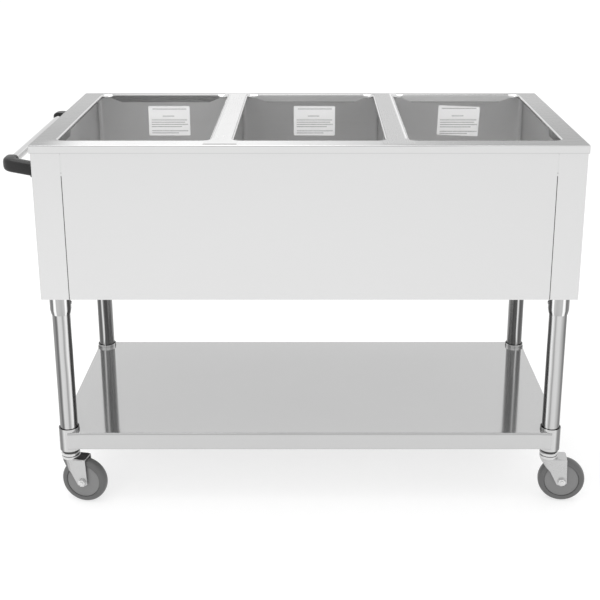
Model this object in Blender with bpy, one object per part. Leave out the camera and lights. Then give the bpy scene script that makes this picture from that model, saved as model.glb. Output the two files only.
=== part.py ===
"""Mobile three-well electric steam table.

Frame: origin on the floor under the middle of the body, +X to the customer's right,
-Y towards the customer, +Y towards the operator, +Z up. Metres throughout.
"""

import math

import bmesh
import bpy
from mathutils import Matrix, Vector

# ---------------------------------------------------------------- driving dimensions

SHEET = 0.0012  # thickness of the body sheet
GAP = 0.0003  # clearance between neighbouring pieces

# Body
BODY_LENGTH = 1.111  # over the deck skirt, along X
BODY_DEPTH = 0.5715  # over the deck skirt, along Y
DECK_Z = 0.819
BODY_BOTTOM_Z = 0.493
SKIRT_DROP = 0.0165
SKIRT_OVERHANG = 0.0025  # deck skirt proud of the side panels
DECK_CORNER = 0.004
PANEL_WRAP = 0.059  # side panel return on the customer and operator faces
BEND = 0.003  # outer radius of a sheet bend
SEAM = 0.0008  # open seam between the side panels and the panel between them

# Wells
WELL_PITCH = 0.3556
WELL_X = {"left": -WELL_PITCH, "middle": 0.0, "right": WELL_PITCH}
OPENING_LENGTH = 0.307
OPENING_DEPTH = 0.505
OPENING_CORNER = 0.016
OPENING_Y = 0.013  # the deck band is narrower on the operator side
OPENING_FLANGE = 0.019  # folded down into the well
LINER_CLEAR = 0.014  # liner wall outside the opening edge, at the front and the sides
LINER_BACK_CLEAR = 0.005
LINER_SHEET = 0.0008
LINER_DEPTH = 0.200
LINER_RIM = 0.006
LINER_CORNER = 0.010  # inner radius of the upright corners
LINER_BASE_RADIUS = 0.008

# Heating elements
ELEMENT_RADIUS = 0.004
ELEMENT_HEIGHT = 0.022  # tube centre above the liner base
ELEMENT_RUNS_X = 0.110
ELEMENT_FRONT_Y = -0.190
ELEMENT_BACK_Y = 0.150
ELEMENT_END_Y = 0.195
ELEMENT_BEND = 0.030
ELEMENT_TAIL = 0.020  # cold ends below the liner base
ELEMENT_HOLE = 0.0046

# Operator side
CONTROL_HEIGHT = 0.122
CONTROL_RECESS = 0.014
CONTROL_ROW_Z = 0.557
LAMP_OFFSET = 0.062
GLAND_X = 0.440
GLAND_Z = 0.525
KNOB_RADIUS = 0.021
KNOB_HEIGHT = 0.025
SHAFT_RADIUS = 0.003
BUSHING_RADIUS = 0.005
LAMP_RADIUS = 0.0062
GLAND_RADIUS = 0.008

# Push handle on the left side
HANDLE_X = -0.605
HANDLE_Z = 0.772
HANDLE_FRONT_Y = -0.250
HANDLE_REAR_Y = 0.229
HANDLE_TUBE_RADIUS = 0.0095
ELBOW_RADIUS = 0.0145
ELBOW_REACH = 0.027
ELBOW_DROP = 0.010  # the arm runs slightly down to the side panel
ELBOW_GRIP = 0.012  # tube length held in each elbow

# Legs and undershelf
LEG_X = 0.5265
LEG_Y = 0.228
LEG_RADIUS = 0.019
LEG_WALL = 0.0015
LEG_BOTTOM_Z = 0.1240
SOCKET_RADIUS = 0.02235
SOCKET_TAPER_Z = 0.453
SOCKET_BOTTOM_Z = 0.442
SHELF_Z = 0.170
SHELF_LIP = 0.039
SHELF_HEM = 0.012
COLLAR_RADIUS = 0.0222
COLLAR_TOP_Z = 0.177
SHELF_EDGE_INSET = 0.002  # shelf lip inside the collars' outer tangent
SHELF_NOTCH_CLEAR = 0.001  # round each collar
STIFFENER_WIDTH = 0.060
STIFFENER_DEPTH = 0.020
STIFFENER_HALF_LENGTH = 0.480

# Casters
WHEEL_RADIUS = 0.051
WHEEL_HALF_WIDTH = 0.0130
HUB_RADIUS = 0.0115
WEB_RADIUS = 0.0365  # flat face between the hub and the tyre
CASTER_TRAIL = 0.030
STEM_RADIUS = 0.0170  # expanding insert inside the leg tube
STEM_LENGTH = 0.042
AXLE_RADIUS = 0.005
AXLE_HOLE = 0.0054
KINGPIN_RADIUS = 0.0063
FORK_PLATE = 0.0025
FORK_INNER = 0.0146
FORK_CROWN_Z = 0.1035
FORK_BACK = 0.020
FORK_FRONT = 0.036
FORK_EYE = 0.010
RACE_TOP_Z = 0.1100
RACE_RADIUS = 0.0205

# corner name: (x sign, y sign, direction of trail in degrees about +Z from +X)
CORNERS = {
    "front_left": (-1, -1, -12.0),
    "front_right": (1, -1, -6.0),
    "rear_left": (-1, 1, 28.0),
    "rear_right": (1, 1, 152.0),
}

PANEL_X = BODY_LENGTH / 2 - SKIRT_OVERHANG
PANEL_Y = BODY_DEPTH / 2 - SKIRT_OVERHANG
PANEL_TOP_Z = DECK_Z - SHEET - 2 * GAP
PANEL_HALF_LENGTH = PANEL_X - PANEL_WRAP - SEAM
CONTROL_TOP_Z = BODY_BOTTOM_Z + CONTROL_HEIGHT
CONTROL_FACE_Y = PANEL_Y - CONTROL_RECESS
LINER_TOP_Z = DECK_Z - SHEET - GAP
LINER_BASE_Z = LINER_TOP_Z - LINER_DEPTH
LINER_FRONT_Y = OPENING_Y - OPENING_DEPTH / 2 - LINER_CLEAR
LINER_BACK_Y = OPENING_Y + OPENING_DEPTH / 2 + LINER_BACK_CLEAR
LINER_Y = (LINER_FRONT_Y + LINER_BACK_Y) / 2
PAN_Z = BODY_BOTTOM_Z + SHEET + GAP
FACE_OPERATOR = (-math.pi / 2, 0, 0)  # local +Z turned to world +Y

# base colour, metallic, roughness
FINISHES = {
    "satin_steel": ((0.74, 0.74, 0.73), 1.0, 0.30),
    "polished_steel": ((0.80, 0.80, 0.80), 1.0, 0.12),
    "liner_steel": ((0.62, 0.62, 0.61), 1.0, 0.34),
    "chrome": ((0.82, 0.82, 0.83), 1.0, 0.07),
    "zinc": ((0.66, 0.66, 0.66), 1.0, 0.28),
    "element": ((0.20, 0.19, 0.18), 0.8, 0.55),
    "black_plastic": ((0.03, 0.03, 0.032), 0.0, 0.42),
    "ivory_plastic": ((0.72, 0.69, 0.60), 0.0, 0.50),
    "amber_lens": ((0.85, 0.25, 0.05), 0.0, 0.15),
    "grey_rubber": ((0.22, 0.22, 0.23), 0.0, 0.62),
    "fibre_wool": ((0.76, 0.70, 0.45), 0.0, 0.95),
}

# ---------------------------------------------------------------- outlines


def circle(radius, z, count, center=(0.0, 0.0)):
    points = []
    for i in range(count):
        angle = 2 * math.pi * i / count
        x = center[0] + radius * math.cos(angle)
        y = center[1] + radius * math.sin(angle)
        points.append(Vector((x, y, z)))
    return points


def hexagon(apothem, z, count):
    """A hexagon sampled at equal angles, so it bridges to a circle with the same count."""
    points = []
    for i in range(count):
        angle = 2 * math.pi * i / count
        wedge = (angle % (math.pi / 3)) - math.pi / 6
        radius = apothem / math.cos(wedge)
        points.append(Vector((radius * math.cos(angle), radius * math.sin(angle), z)))
    return points


def rounded_rect(half_x, half_y, radius, z, steps=3, center=(0.0, 0.0)):
    points = []
    for quarter, (sx, sy) in enumerate(((1, 1), (-1, 1), (-1, -1), (1, -1))):
        for i in range(steps + 1):
            angle = math.pi / 2 * (quarter + i / steps)
            x = center[0] + sx * (half_x - radius) + radius * math.cos(angle)
            y = center[1] + sy * (half_y - radius) + radius * math.sin(angle)
            points.append(Vector((x, y, z)))
    return points


def rounded_square(half, z, count):
    """A square with soft corners, sampled at equal angles."""
    points = []
    for i in range(count):
        angle = 2 * math.pi * i / count
        c, s = math.cos(angle), math.sin(angle)
        radius = half / (abs(c) ** 8 + abs(s) ** 8) ** 0.125
        points.append(Vector((radius * c, radius * s, z)))
    return points


def fillet_path(corners, radius, steps):
    """The polyline through the corners, each inner corner rounded to the radius."""
    points = [Vector(corners[0])]
    for before, corner, after in zip(corners, corners[1:], corners[2:]):
        corner = Vector(corner)
        into = (Vector(before) - corner).normalized()
        out = (Vector(after) - corner).normalized()
        half = into.angle(out) / 2
        room = 0.49 * min((Vector(before) - corner).length, (Vector(after) - corner).length)
        reach = min(radius / math.tan(half), room)
        swing = reach * math.tan(half)
        centre = corner + (into + out).normalized() * (reach / math.cos(half))
        start = corner + into * reach - centre
        end = corner + out * reach - centre
        for i in range(steps + 1):
            arm = start.slerp(end, i / steps)
            points.append(centre + arm.normalized() * swing)
    points.append(Vector(corners[-1]))
    return points


def section(point, tangent, radius, count):
    """A circle of the radius square to the tangent."""
    across = tangent.cross(Vector((0, 0, 1))).normalized()
    rise = across.cross(tangent).normalized()
    ring = []
    for i in range(count):
        angle = 2 * math.pi * i / count
        ring.append(point + radius * (math.cos(angle) * across + math.sin(angle) * rise))
    return ring


# ---------------------------------------------------------------- mesh building


def add_loop(bm, points):
    return [bm.verts.new(point) for point in points]


def bridge(bm, first, second):
    count = len(first)
    for i in range(count):
        j = (i + 1) % count
        bm.faces.new((first[i], first[j], second[j], second[i]))


def fill(bm, *loops):
    """Fill the flat region bounded by the first loop, leaving the others as holes."""
    edges = []
    for loop in loops:
        for start, end in zip(loop, loop[1:] + loop[:1]):
            edges.append(bm.edges.get((start, end)) or bm.edges.new((start, end)))
    bmesh.ops.triangle_fill(bm, edges=edges, use_beauty=True, use_dissolve=False)


def loft(outlines, ring=False):
    """A solid through the outlines in turn: capped at both ends, or joined into a ring."""
    bm = bmesh.new()
    loops = [add_loop(bm, outline) for outline in outlines]
    for first, second in zip(loops, loops[1:]):
        bridge(bm, first, second)
    if ring:
        bridge(bm, loops[-1], loops[0])
    else:
        bm.faces.new(loops[0])
        bm.faces.new(loops[-1])
    return bm


def lathe(profile, count, ring=False):
    """Turn (radius, z) points about local Z."""
    return loft([circle(radius, z, count) for radius, z in profile], ring)


def extrusion(outline, direction):
    """A prism from a flat outline along the direction."""
    bm = bmesh.new()
    near = add_loop(bm, outline)
    far = add_loop(bm, [point + Vector(direction) for point in outline])
    bridge(bm, near, far)
    fill(bm, near)
    fill(bm, far)
    return bm


def block(size, center=(0, 0, 0)):
    bm = bmesh.new()
    bmesh.ops.create_cube(bm, size=1.0, matrix=Matrix.Translation(center) @ Matrix.Diagonal((*size, 1)))
    return bm


def to_mesh(name, bm):
    bmesh.ops.recalc_face_normals(bm, faces=bm.faces)
    mesh = bpy.data.meshes.new(name)
    bm.to_mesh(mesh)
    bm.free()
    mesh.shade_smooth()
    mesh.set_sharp_from_angle(angle=math.radians(32))
    return mesh


def finish_material(name, finish):
    colour, metallic, roughness = FINISHES[finish]
    material = bpy.data.materials.new(name)
    material.use_nodes = True
    shader = material.node_tree.nodes["Principled BSDF"]
    shader.inputs["Base Color"].default_value = (*colour, 1.0)
    shader.inputs["Metallic"].default_value = metallic
    shader.inputs["Roughness"].default_value = roughness
    return material


def place(name, mesh, finish, location=(0, 0, 0), rotation=(0, 0, 0), parent=None):
    """Add a named sub-part at its place, with its own material on the object."""
    obj = bpy.data.objects.new(name, mesh)
    bpy.context.collection.objects.link(obj)
    obj.location = location
    obj.rotation_euler = rotation
    obj.parent = parent
    if not mesh.materials:
        mesh.materials.append(None)
    obj.material_slots[0].link = "OBJECT"
    obj.material_slots[0].material = finish_material(name, finish)
    return obj


def add_axis(name, location, turn):
    """An empty on a moving piece's joint axis."""
    empty = bpy.data.objects.new(name, None)
    bpy.context.collection.objects.link(empty)
    empty.empty_display_size = 0.05
    empty.location = location
    empty.rotation_euler = (0, 0, turn)
    return empty


def combine(name, base, *steps):
    """Apply boolean steps, each an (operation, bmesh) pair, and return the resulting mesh."""
    obj = bpy.data.objects.new(name, to_mesh(name, base))
    bpy.context.collection.objects.link(obj)
    tools = []
    for operation, tool_bm in steps:
        tool = bpy.data.objects.new(f"{name}_tool", to_mesh(f"{name}_tool", tool_bm))
        bpy.context.collection.objects.link(tool)
        tools.append(tool)
        modifier = obj.modifiers.new(operation, "BOOLEAN")
        modifier.operation = operation
        modifier.solver = "EXACT"
        modifier.object = tool
    bpy.context.view_layer.update()
    evaluated = obj.evaluated_get(bpy.context.evaluated_depsgraph_get())
    mesh = bpy.data.meshes.new_from_object(evaluated)
    mesh.name = name
    for helper in [obj, *tools]:
        bpy.data.objects.remove(helper)
    mesh.shade_smooth()
    mesh.set_sharp_from_angle(angle=math.radians(32))
    return mesh


# ---------------------------------------------------------------- body shell


def make_deck():
    """Top sheet with a folded skirt and three openings with folded-down flanges."""
    half_x, half_y = BODY_LENGTH / 2, BODY_DEPTH / 2
    skirt_z = DECK_Z - SKIRT_DROP
    under_z = DECK_Z - SHEET
    flange_z = DECK_Z - OPENING_FLANGE
    bm = bmesh.new()
    top = add_loop(bm, rounded_rect(half_x, half_y, DECK_CORNER, DECK_Z))
    skirt_outer = add_loop(bm, rounded_rect(half_x, half_y, DECK_CORNER, skirt_z))
    inner_corner = DECK_CORNER - SHEET
    skirt_inner = add_loop(bm, rounded_rect(half_x - SHEET, half_y - SHEET, inner_corner, skirt_z))
    under = add_loop(bm, rounded_rect(half_x - SHEET, half_y - SHEET, inner_corner, under_z))
    bridge(bm, top, skirt_outer)
    bridge(bm, skirt_outer, skirt_inner)
    bridge(bm, skirt_inner, under)
    top_holes, under_holes = [], []
    for x in WELL_X.values():
        center = (x, OPENING_Y)
        near = (OPENING_LENGTH / 2, OPENING_DEPTH / 2, OPENING_CORNER)
        far = (near[0] + SHEET, near[1] + SHEET, near[2] + SHEET)
        lip_top = add_loop(bm, rounded_rect(*near, DECK_Z, center=center))
        lip_bottom = add_loop(bm, rounded_rect(*near, flange_z, center=center))
        back_bottom = add_loop(bm, rounded_rect(*far, flange_z, center=center))
        back_top = add_loop(bm, rounded_rect(*far, under_z, center=center))
        bridge(bm, lip_top, lip_bottom)
        bridge(bm, lip_bottom, back_bottom)
        bridge(bm, back_bottom, back_top)
        top_holes.append(lip_top)
        under_holes.append(back_top)
    fill(bm, top, *top_holes)
    fill(bm, under, *under_holes)
    place("deck_top", to_mesh("deck_top", bm), "satin_steel")


def wrap_outline(z):
    """Plan of a side panel: the side with a rounded return at each end, for the +X side."""
    inner = []
    outer = []
    for sign in (-1, 1):
        for i in range(4):
            angle = math.radians(90 * i / 3)
            if sign < 0:
                angle = angle - math.pi / 2
            for radius, points in ((BEND, outer), (BEND - SHEET, inner)):
                x = PANEL_X - BEND + radius * math.cos(angle)
                y = sign * (PANEL_Y - BEND) + radius * math.sin(angle)
                points.append(Vector((x, y, z)))
    end_x = PANEL_X - PANEL_WRAP
    outer.insert(0, Vector((end_x, -PANEL_Y, z)))
    outer.append(Vector((end_x, PANEL_Y, z)))
    inner.insert(0, Vector((end_x, -PANEL_Y + SHEET, z)))
    inner.append(Vector((end_x, PANEL_Y - SHEET, z)))
    return outer + inner[::-1]


def make_side_panels():
    height = PANEL_TOP_Z - BODY_BOTTOM_Z
    for side, turn in (("right", 0.0), ("left", math.pi)):
        bm = extrusion(wrap_outline(0.0), (0, 0, height))
        name = f"{side}_side_panel"
        place(name, to_mesh(name, bm), "satin_steel", (0, 0, BODY_BOTTOM_Z), (0, 0, turn))


def make_folded_panel(name, low_z, face_sign):
    """A flat panel between the side panel returns with its lower edge folded inwards."""
    fold = 0.012
    profile = [
        (0.0, low_z),
        (0.0, PANEL_TOP_Z),
        (-SHEET, PANEL_TOP_Z),
        (-SHEET, low_z + SHEET),
        (-fold, low_z + SHEET),
        (-fold, low_z),
    ]
    outline = [Vector((-PANEL_HALF_LENGTH, face_sign * y, z)) for y, z in profile]
    bm = extrusion(outline, (2 * PANEL_HALF_LENGTH, 0, 0))
    place(name, to_mesh(name, bm), "satin_steel", (0, face_sign * PANEL_Y, 0))


def make_control_panel():
    """Recessed tray on the operator side, pierced for switches, lamps and the cable gland."""
    half_x = PANEL_HALF_LENGTH
    half_z = CONTROL_HEIGHT / 2 - GAP
    middle_z = BODY_BOTTOM_Z + CONTROL_HEIGHT / 2
    inner = (half_x - SHEET, half_z - SHEET)
    bm = bmesh.new()
    rim_outer = add_loop(bm, rounded_rect(half_x, half_z, BEND, CONTROL_RECESS, 2))
    back_outer = add_loop(bm, rounded_rect(half_x, half_z, BEND, -SHEET, 2))
    rim_inner = add_loop(bm, rounded_rect(*inner, BEND - SHEET, CONTROL_RECESS, 2))
    face = add_loop(bm, rounded_rect(*inner, BEND - SHEET, 0.0, 2))
    bridge(bm, back_outer, rim_outer)
    bridge(bm, rim_outer, rim_inner)
    bridge(bm, rim_inner, face)
    row = middle_z - CONTROL_ROW_Z
    holes = [(GLAND_X, middle_z - GLAND_Z, GLAND_RADIUS + GAP)]
    for x in WELL_X.values():
        holes.append((x, row, BUSHING_RADIUS + GAP))
        holes.append((x + LAMP_OFFSET, row, LAMP_RADIUS - 0.001 + GAP))
    face_holes, back_holes = [], []
    for x, y, radius in holes:
        face_hole = add_loop(bm, circle(radius, 0.0, 12, (x, y)))
        back_hole = add_loop(bm, circle(radius, -SHEET, 12, (x, y)))
        bridge(bm, face_hole, back_hole)
        face_holes.append(face_hole)
        back_holes.append(back_hole)
    fill(bm, face, *face_holes)
    fill(bm, back_outer, *back_holes)
    mesh = to_mesh("control_panel", bm)
    place("control_panel", mesh, "satin_steel", (0, CONTROL_FACE_Y, middle_z), FACE_OPERATOR)


def make_bottom_pan():
    """Shallow tray closing the underside, edges turned up inside the panels."""
    edge = 0.015
    clear = SHEET + GAP
    front_y = -(PANEL_Y - clear)
    back_y = CONTROL_FACE_Y - SHEET - GAP - 0.001
    half_x = PANEL_X - clear
    half_y = (back_y - front_y) / 2
    outlines = [
        rounded_rect(half_x, half_y, BEND, 0.0),
        rounded_rect(half_x, half_y, BEND, edge),
        rounded_rect(half_x - SHEET, half_y - SHEET, BEND - SHEET, edge),
        rounded_rect(half_x - SHEET, half_y - SHEET, BEND - SHEET, SHEET),
    ]
    location = (0, (front_y + back_y) / 2, PAN_Z)
    place("bottom_pan", to_mesh("bottom_pan", loft(outlines)), "satin_steel", location)


# ---------------------------------------------------------------- wells


def liner_outline(grow, z):
    """Plan of a well liner, grown outwards from its inner wall."""
    half_x = OPENING_LENGTH / 2 + LINER_CLEAR + grow
    half_y = (LINER_BACK_Y - LINER_FRONT_Y) / 2 + grow
    return rounded_rect(half_x, half_y, LINER_CORNER + grow, z)


def make_liner(side, x):
    """Open-topped pan with a rim under the deck and two holes for the element's ends."""
    steps = 3
    bm = bmesh.new()
    rim_z = LINER_TOP_Z - LINER_BASE_Z
    loops = [add_loop(bm, liner_outline(0.0, rim_z))]
    loops.append(add_loop(bm, liner_outline(LINER_SHEET + LINER_RIM, rim_z)))
    loops.append(add_loop(bm, liner_outline(LINER_SHEET + LINER_RIM, rim_z - LINER_SHEET)))
    loops.append(add_loop(bm, liner_outline(LINER_SHEET, rim_z - LINER_SHEET)))
    outer_radius = LINER_BASE_RADIUS + LINER_SHEET
    for i in range(steps + 1):
        angle = math.pi / 2 * i / steps
        grow = LINER_SHEET - outer_radius * (1 - math.cos(angle))
        loops.append(add_loop(bm, liner_outline(grow, outer_radius * (1 - math.sin(angle)))))
    base_outer = loops[-1]
    inner = [add_loop(bm, liner_outline(0.0, LINER_SHEET + LINER_BASE_RADIUS))]
    for i in range(1, steps + 1):
        angle = math.pi / 2 * i / steps
        grow = -LINER_BASE_RADIUS * (1 - math.cos(angle))
        z = LINER_SHEET + LINER_BASE_RADIUS * (1 - math.sin(angle))
        inner.append(add_loop(bm, liner_outline(grow, z)))
    base_inner = inner[-1]
    for first, second in zip(loops, loops[1:]):
        bridge(bm, first, second)
    bridge(bm, loops[0], inner[0])
    for first, second in zip(inner, inner[1:]):
        bridge(bm, first, second)
    lower_holes, upper_holes = [], []
    for end_x in (-ELEMENT_RUNS_X, ELEMENT_RUNS_X):
        lower = add_loop(bm, circle(ELEMENT_HOLE, 0.0, 12, (end_x, ELEMENT_END_Y)))
        upper = add_loop(bm, circle(ELEMENT_HOLE, LINER_SHEET, 12, (end_x, ELEMENT_END_Y)))
        bridge(bm, lower, upper)
        lower_holes.append(lower)
        upper_holes.append(upper)
    fill(bm, base_outer, *lower_holes)
    fill(bm, base_inner, *upper_holes)
    name = f"{side}_well_liner"
    place(name, to_mesh(name, bm), "liner_steel", (x, LINER_Y, LINER_BASE_Z))


def make_element(side, x):
    """Sheathed heating element: four long runs, its cold ends down through the liner base."""
    inner_x = ELEMENT_RUNS_X / 3
    level = LINER_SHEET + ELEMENT_HEIGHT
    corners = [
        (-ELEMENT_RUNS_X, ELEMENT_END_Y, -ELEMENT_TAIL),
        (-ELEMENT_RUNS_X, ELEMENT_END_Y, level),
        (-ELEMENT_RUNS_X, ELEMENT_FRONT_Y, level),
        (-inner_x, ELEMENT_FRONT_Y, level),
        (-inner_x, ELEMENT_BACK_Y, level),
        (inner_x, ELEMENT_BACK_Y, level),
        (inner_x, ELEMENT_FRONT_Y, level),
        (ELEMENT_RUNS_X, ELEMENT_FRONT_Y, level),
        (ELEMENT_RUNS_X, ELEMENT_END_Y, level),
        (ELEMENT_RUNS_X, ELEMENT_END_Y, -ELEMENT_TAIL),
    ]
    name = f"{side}_heating_element"
    curve = bpy.data.curves.new(name, "CURVE")
    curve.dimensions = "3D"
    curve.bevel_depth = ELEMENT_RADIUS
    curve.bevel_resolution = 1
    curve.use_fill_caps = True
    curve.resolution_u = 1
    curve.render_resolution_u = 0
    path = fillet_path(corners, ELEMENT_BEND, 4)
    spline = curve.splines.new("POLY")
    spline.points.add(len(path) - 1)
    for target, point in zip(spline.points, path):
        target.co = (*point, 1.0)
    place(name, curve, "element", (x, LINER_Y, LINER_BASE_Z))


def make_insulation():
    """Wool blanket round the three wells, inside the panels."""
    outer_x = PANEL_X - SHEET - 0.0012
    outer_y = PANEL_Y - SHEET - 0.0012
    inner_x = WELL_PITCH + OPENING_LENGTH / 2 + LINER_CLEAR + LINER_SHEET + 0.0015
    low_z, high_z = CONTROL_TOP_Z + 0.004, LINER_TOP_Z - 0.0075
    front_y = LINER_FRONT_Y - LINER_SHEET - 0.0015
    back_y = LINER_BACK_Y + LINER_SHEET + 0.0015
    hole = (inner_x, (back_y - front_y) / 2, 0.012)
    center = (0.0, (back_y + front_y) / 2)
    outlines = [
        rounded_rect(outer_x, outer_y, 0.004, low_z),
        rounded_rect(outer_x, outer_y, 0.004, high_z),
        rounded_rect(*hole, high_z, center=center),
        rounded_rect(*hole, low_z, center=center),
    ]
    place("insulation_wrap", to_mesh("insulation_wrap", loft(outlines, ring=True)), "fibre_wool")


# ---------------------------------------------------------------- operator controls


def make_switch(side, x):
    """Boxed heat switch behind the panel, its bushing through the panel and bored for the shaft."""
    count = 16
    outlines = [
        rounded_square(0.019, -0.034, count),
        rounded_square(0.019, -SHEET - GAP, count),
        circle(BUSHING_RADIUS, -SHEET - GAP, count),
        circle(BUSHING_RADIUS, 0.002, count),
        circle(SHAFT_RADIUS + GAP, 0.002, count),
        circle(SHAFT_RADIUS + GAP, -0.020, count),
    ]
    name = f"{side}_heat_switch"
    location = (x, CONTROL_FACE_Y, CONTROL_ROW_Z)
    place(name, to_mesh(name, loft(outlines)), "ivory_plastic", location, FACE_OPERATOR)


def knob_bar(half_length, half_width, z, count):
    """Outline of the knob's finger bar: a long rounded bar across the skirt."""
    points = []
    for i in range(count):
        angle = 2 * math.pi * i / count
        c, s = math.cos(angle), math.sin(angle)
        x = half_width * math.copysign(abs(c) ** 0.6, c)
        y = half_length * math.copysign(abs(s) ** 0.9, s)
        points.append(Vector((x, y, z)))
    return points


def make_knob(side, x):
    """Knob with a round skirt, a finger bar and a steel shaft behind it."""
    count = 16
    skirt = 0.006
    outlines = [
        circle(SHAFT_RADIUS, -0.020, count),
        circle(SHAFT_RADIUS, 0.0, count),
        circle(KNOB_RADIUS - 0.001, 0.0, count),
        circle(KNOB_RADIUS, 0.001, count),
        circle(KNOB_RADIUS - 0.001, skirt - 0.001, count),
        circle(KNOB_RADIUS - 0.003, skirt, count),
        knob_bar(KNOB_RADIUS - 0.004, 0.0075, skirt, count),
        knob_bar(KNOB_RADIUS - 0.005, 0.0060, KNOB_HEIGHT - 0.0015, count),
        knob_bar(KNOB_RADIUS - 0.0065, 0.0045, KNOB_HEIGHT, count),
    ]
    name = f"{side}_control_knob"
    location = (x, CONTROL_FACE_Y + 0.0026, CONTROL_ROW_Z)
    place(name, to_mesh(name, loft(outlines)), "black_plastic", location, FACE_OPERATOR)


def make_lamp(side, x):
    """Pilot lamp: domed lens and flange outside, barrel through the panel."""
    profile = [
        (LAMP_RADIUS - 0.001, -0.022),
        (LAMP_RADIUS - 0.001, GAP),
        (LAMP_RADIUS + 0.0015, GAP),
        (LAMP_RADIUS + 0.0015, 0.0025),
        (LAMP_RADIUS, 0.0025),
        (LAMP_RADIUS * 0.85, 0.0055),
        (LAMP_RADIUS * 0.40, 0.0072),
    ]
    name = f"{side}_pilot_lamp"
    location = (x + LAMP_OFFSET, CONTROL_FACE_Y, CONTROL_ROW_Z)
    place(name, to_mesh(name, lathe(profile, 12)), "amber_lens", location, FACE_OPERATOR)


def make_gland():
    """Cable gland: lock nut inside, hexagon and domed nut outside, blind cable bore."""
    count = 12
    outlines = [
        circle(GLAND_RADIUS, -0.016, count),
        circle(GLAND_RADIUS, -0.007, count),
        hexagon(0.011, -0.007, count),
        hexagon(0.011, -SHEET - GAP, count),
        circle(GLAND_RADIUS, -SHEET - GAP, count),
        circle(GLAND_RADIUS, GAP, count),
        hexagon(0.012, GAP, count),
        hexagon(0.012, 0.006, count),
        circle(0.0105, 0.006, count),
        circle(0.0095, 0.013, count),
        circle(0.0070, 0.016, count),
        circle(0.0045, 0.016, count),
        circle(0.0045, -0.010, count),
    ]
    location = (GLAND_X, CONTROL_FACE_Y, GLAND_Z)
    place("cable_gland", to_mesh("cable_gland", loft(outlines)), "black_plastic", location, FACE_OPERATOR)


def make_terminal_block():
    """Six-way barrier strip standing on the bottom pan."""
    pitch, ways, base, barrier = 0.014, 6, 0.012, 0.020
    wall = 0.002
    profile = [(0.0, 0.0)]
    for i in range(ways):
        left = i * pitch
        profile += [(left, barrier), (left + wall, barrier), (left + wall, base), (left + pitch, base)]
    end = ways * pitch
    profile += [(end, barrier), (end + wall, barrier), (end + wall, 0.0)]
    outline = [Vector((x, 0.0, z)) for x, z in profile]
    location = (GLAND_X - 0.16, 0.12, PAN_Z + SHEET + GAP)
    mesh = to_mesh("terminal_block", extrusion(outline, (0, 0.026, 0)))
    place("terminal_block", mesh, "ivory_plastic", location)


# ---------------------------------------------------------------- push handle


def make_handle():
    front_end = HANDLE_FRONT_Y + ELBOW_REACH - ELBOW_GRIP
    rear_end = HANDLE_REAR_Y - ELBOW_REACH + ELBOW_GRIP
    half = (rear_end - front_end) / 2
    bore = HANDLE_TUBE_RADIUS - 0.0012
    profile = [(HANDLE_TUBE_RADIUS, -half), (HANDLE_TUBE_RADIUS, half), (bore, half), (bore, -half)]
    location = (HANDLE_X, (front_end + rear_end) / 2, HANDLE_Z)
    mesh = to_mesh("handle_tube", lathe(profile, 20, ring=True))
    place("handle_tube", mesh, "chrome", location, FACE_OPERATOR)
    for name, arm_y, inward in (("front", HANDLE_FRONT_Y, 1), ("rear", HANDLE_REAR_Y, -1)):
        make_elbow(f"{name}_handle_elbow", arm_y, inward)


def make_elbow(name, arm_y, inward):
    """Moulded elbow: a foot on the side panel, an arm, a bend and a socket for the tube."""
    count = 16
    arm = PANEL_X + HANDLE_X
    foot = Vector((-arm - GAP, 0, -ELBOW_DROP))
    socket_end = Vector((0, inward * ELBOW_REACH, 0))
    path = fillet_path([foot, (0, 0, 0), socket_end], 0.017, 6)
    outward = Vector((-1, 0, 0))
    loops = [section(path[0], outward, ELBOW_RADIUS + 0.003, count)]
    loops.append(section(path[0] + outward * 0.004, outward, ELBOW_RADIUS + 0.003, count))
    loops.append(section(path[0] + outward * 0.006, outward, ELBOW_RADIUS, count))
    for before, point, after in zip(path, path[1:], path[2:]):
        tangent = (after - before).normalized()
        loops.append(section(point, tangent, ELBOW_RADIUS, count))
    along = Vector((0, inward, 0))
    bore = HANDLE_TUBE_RADIUS + GAP
    loops.append(section(socket_end - along * 0.002, along, ELBOW_RADIUS, count))
    loops.append(section(socket_end, along, ELBOW_RADIUS - 0.002, count))
    loops.append(section(socket_end, along, bore, count))
    loops.append(section(socket_end - along * (ELBOW_GRIP + GAP), along, bore, count))
    place(name, to_mesh(name, loft(loops)), "black_plastic", (HANDLE_X, arm_y, HANDLE_Z))


# ---------------------------------------------------------------- legs and undershelf


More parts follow.
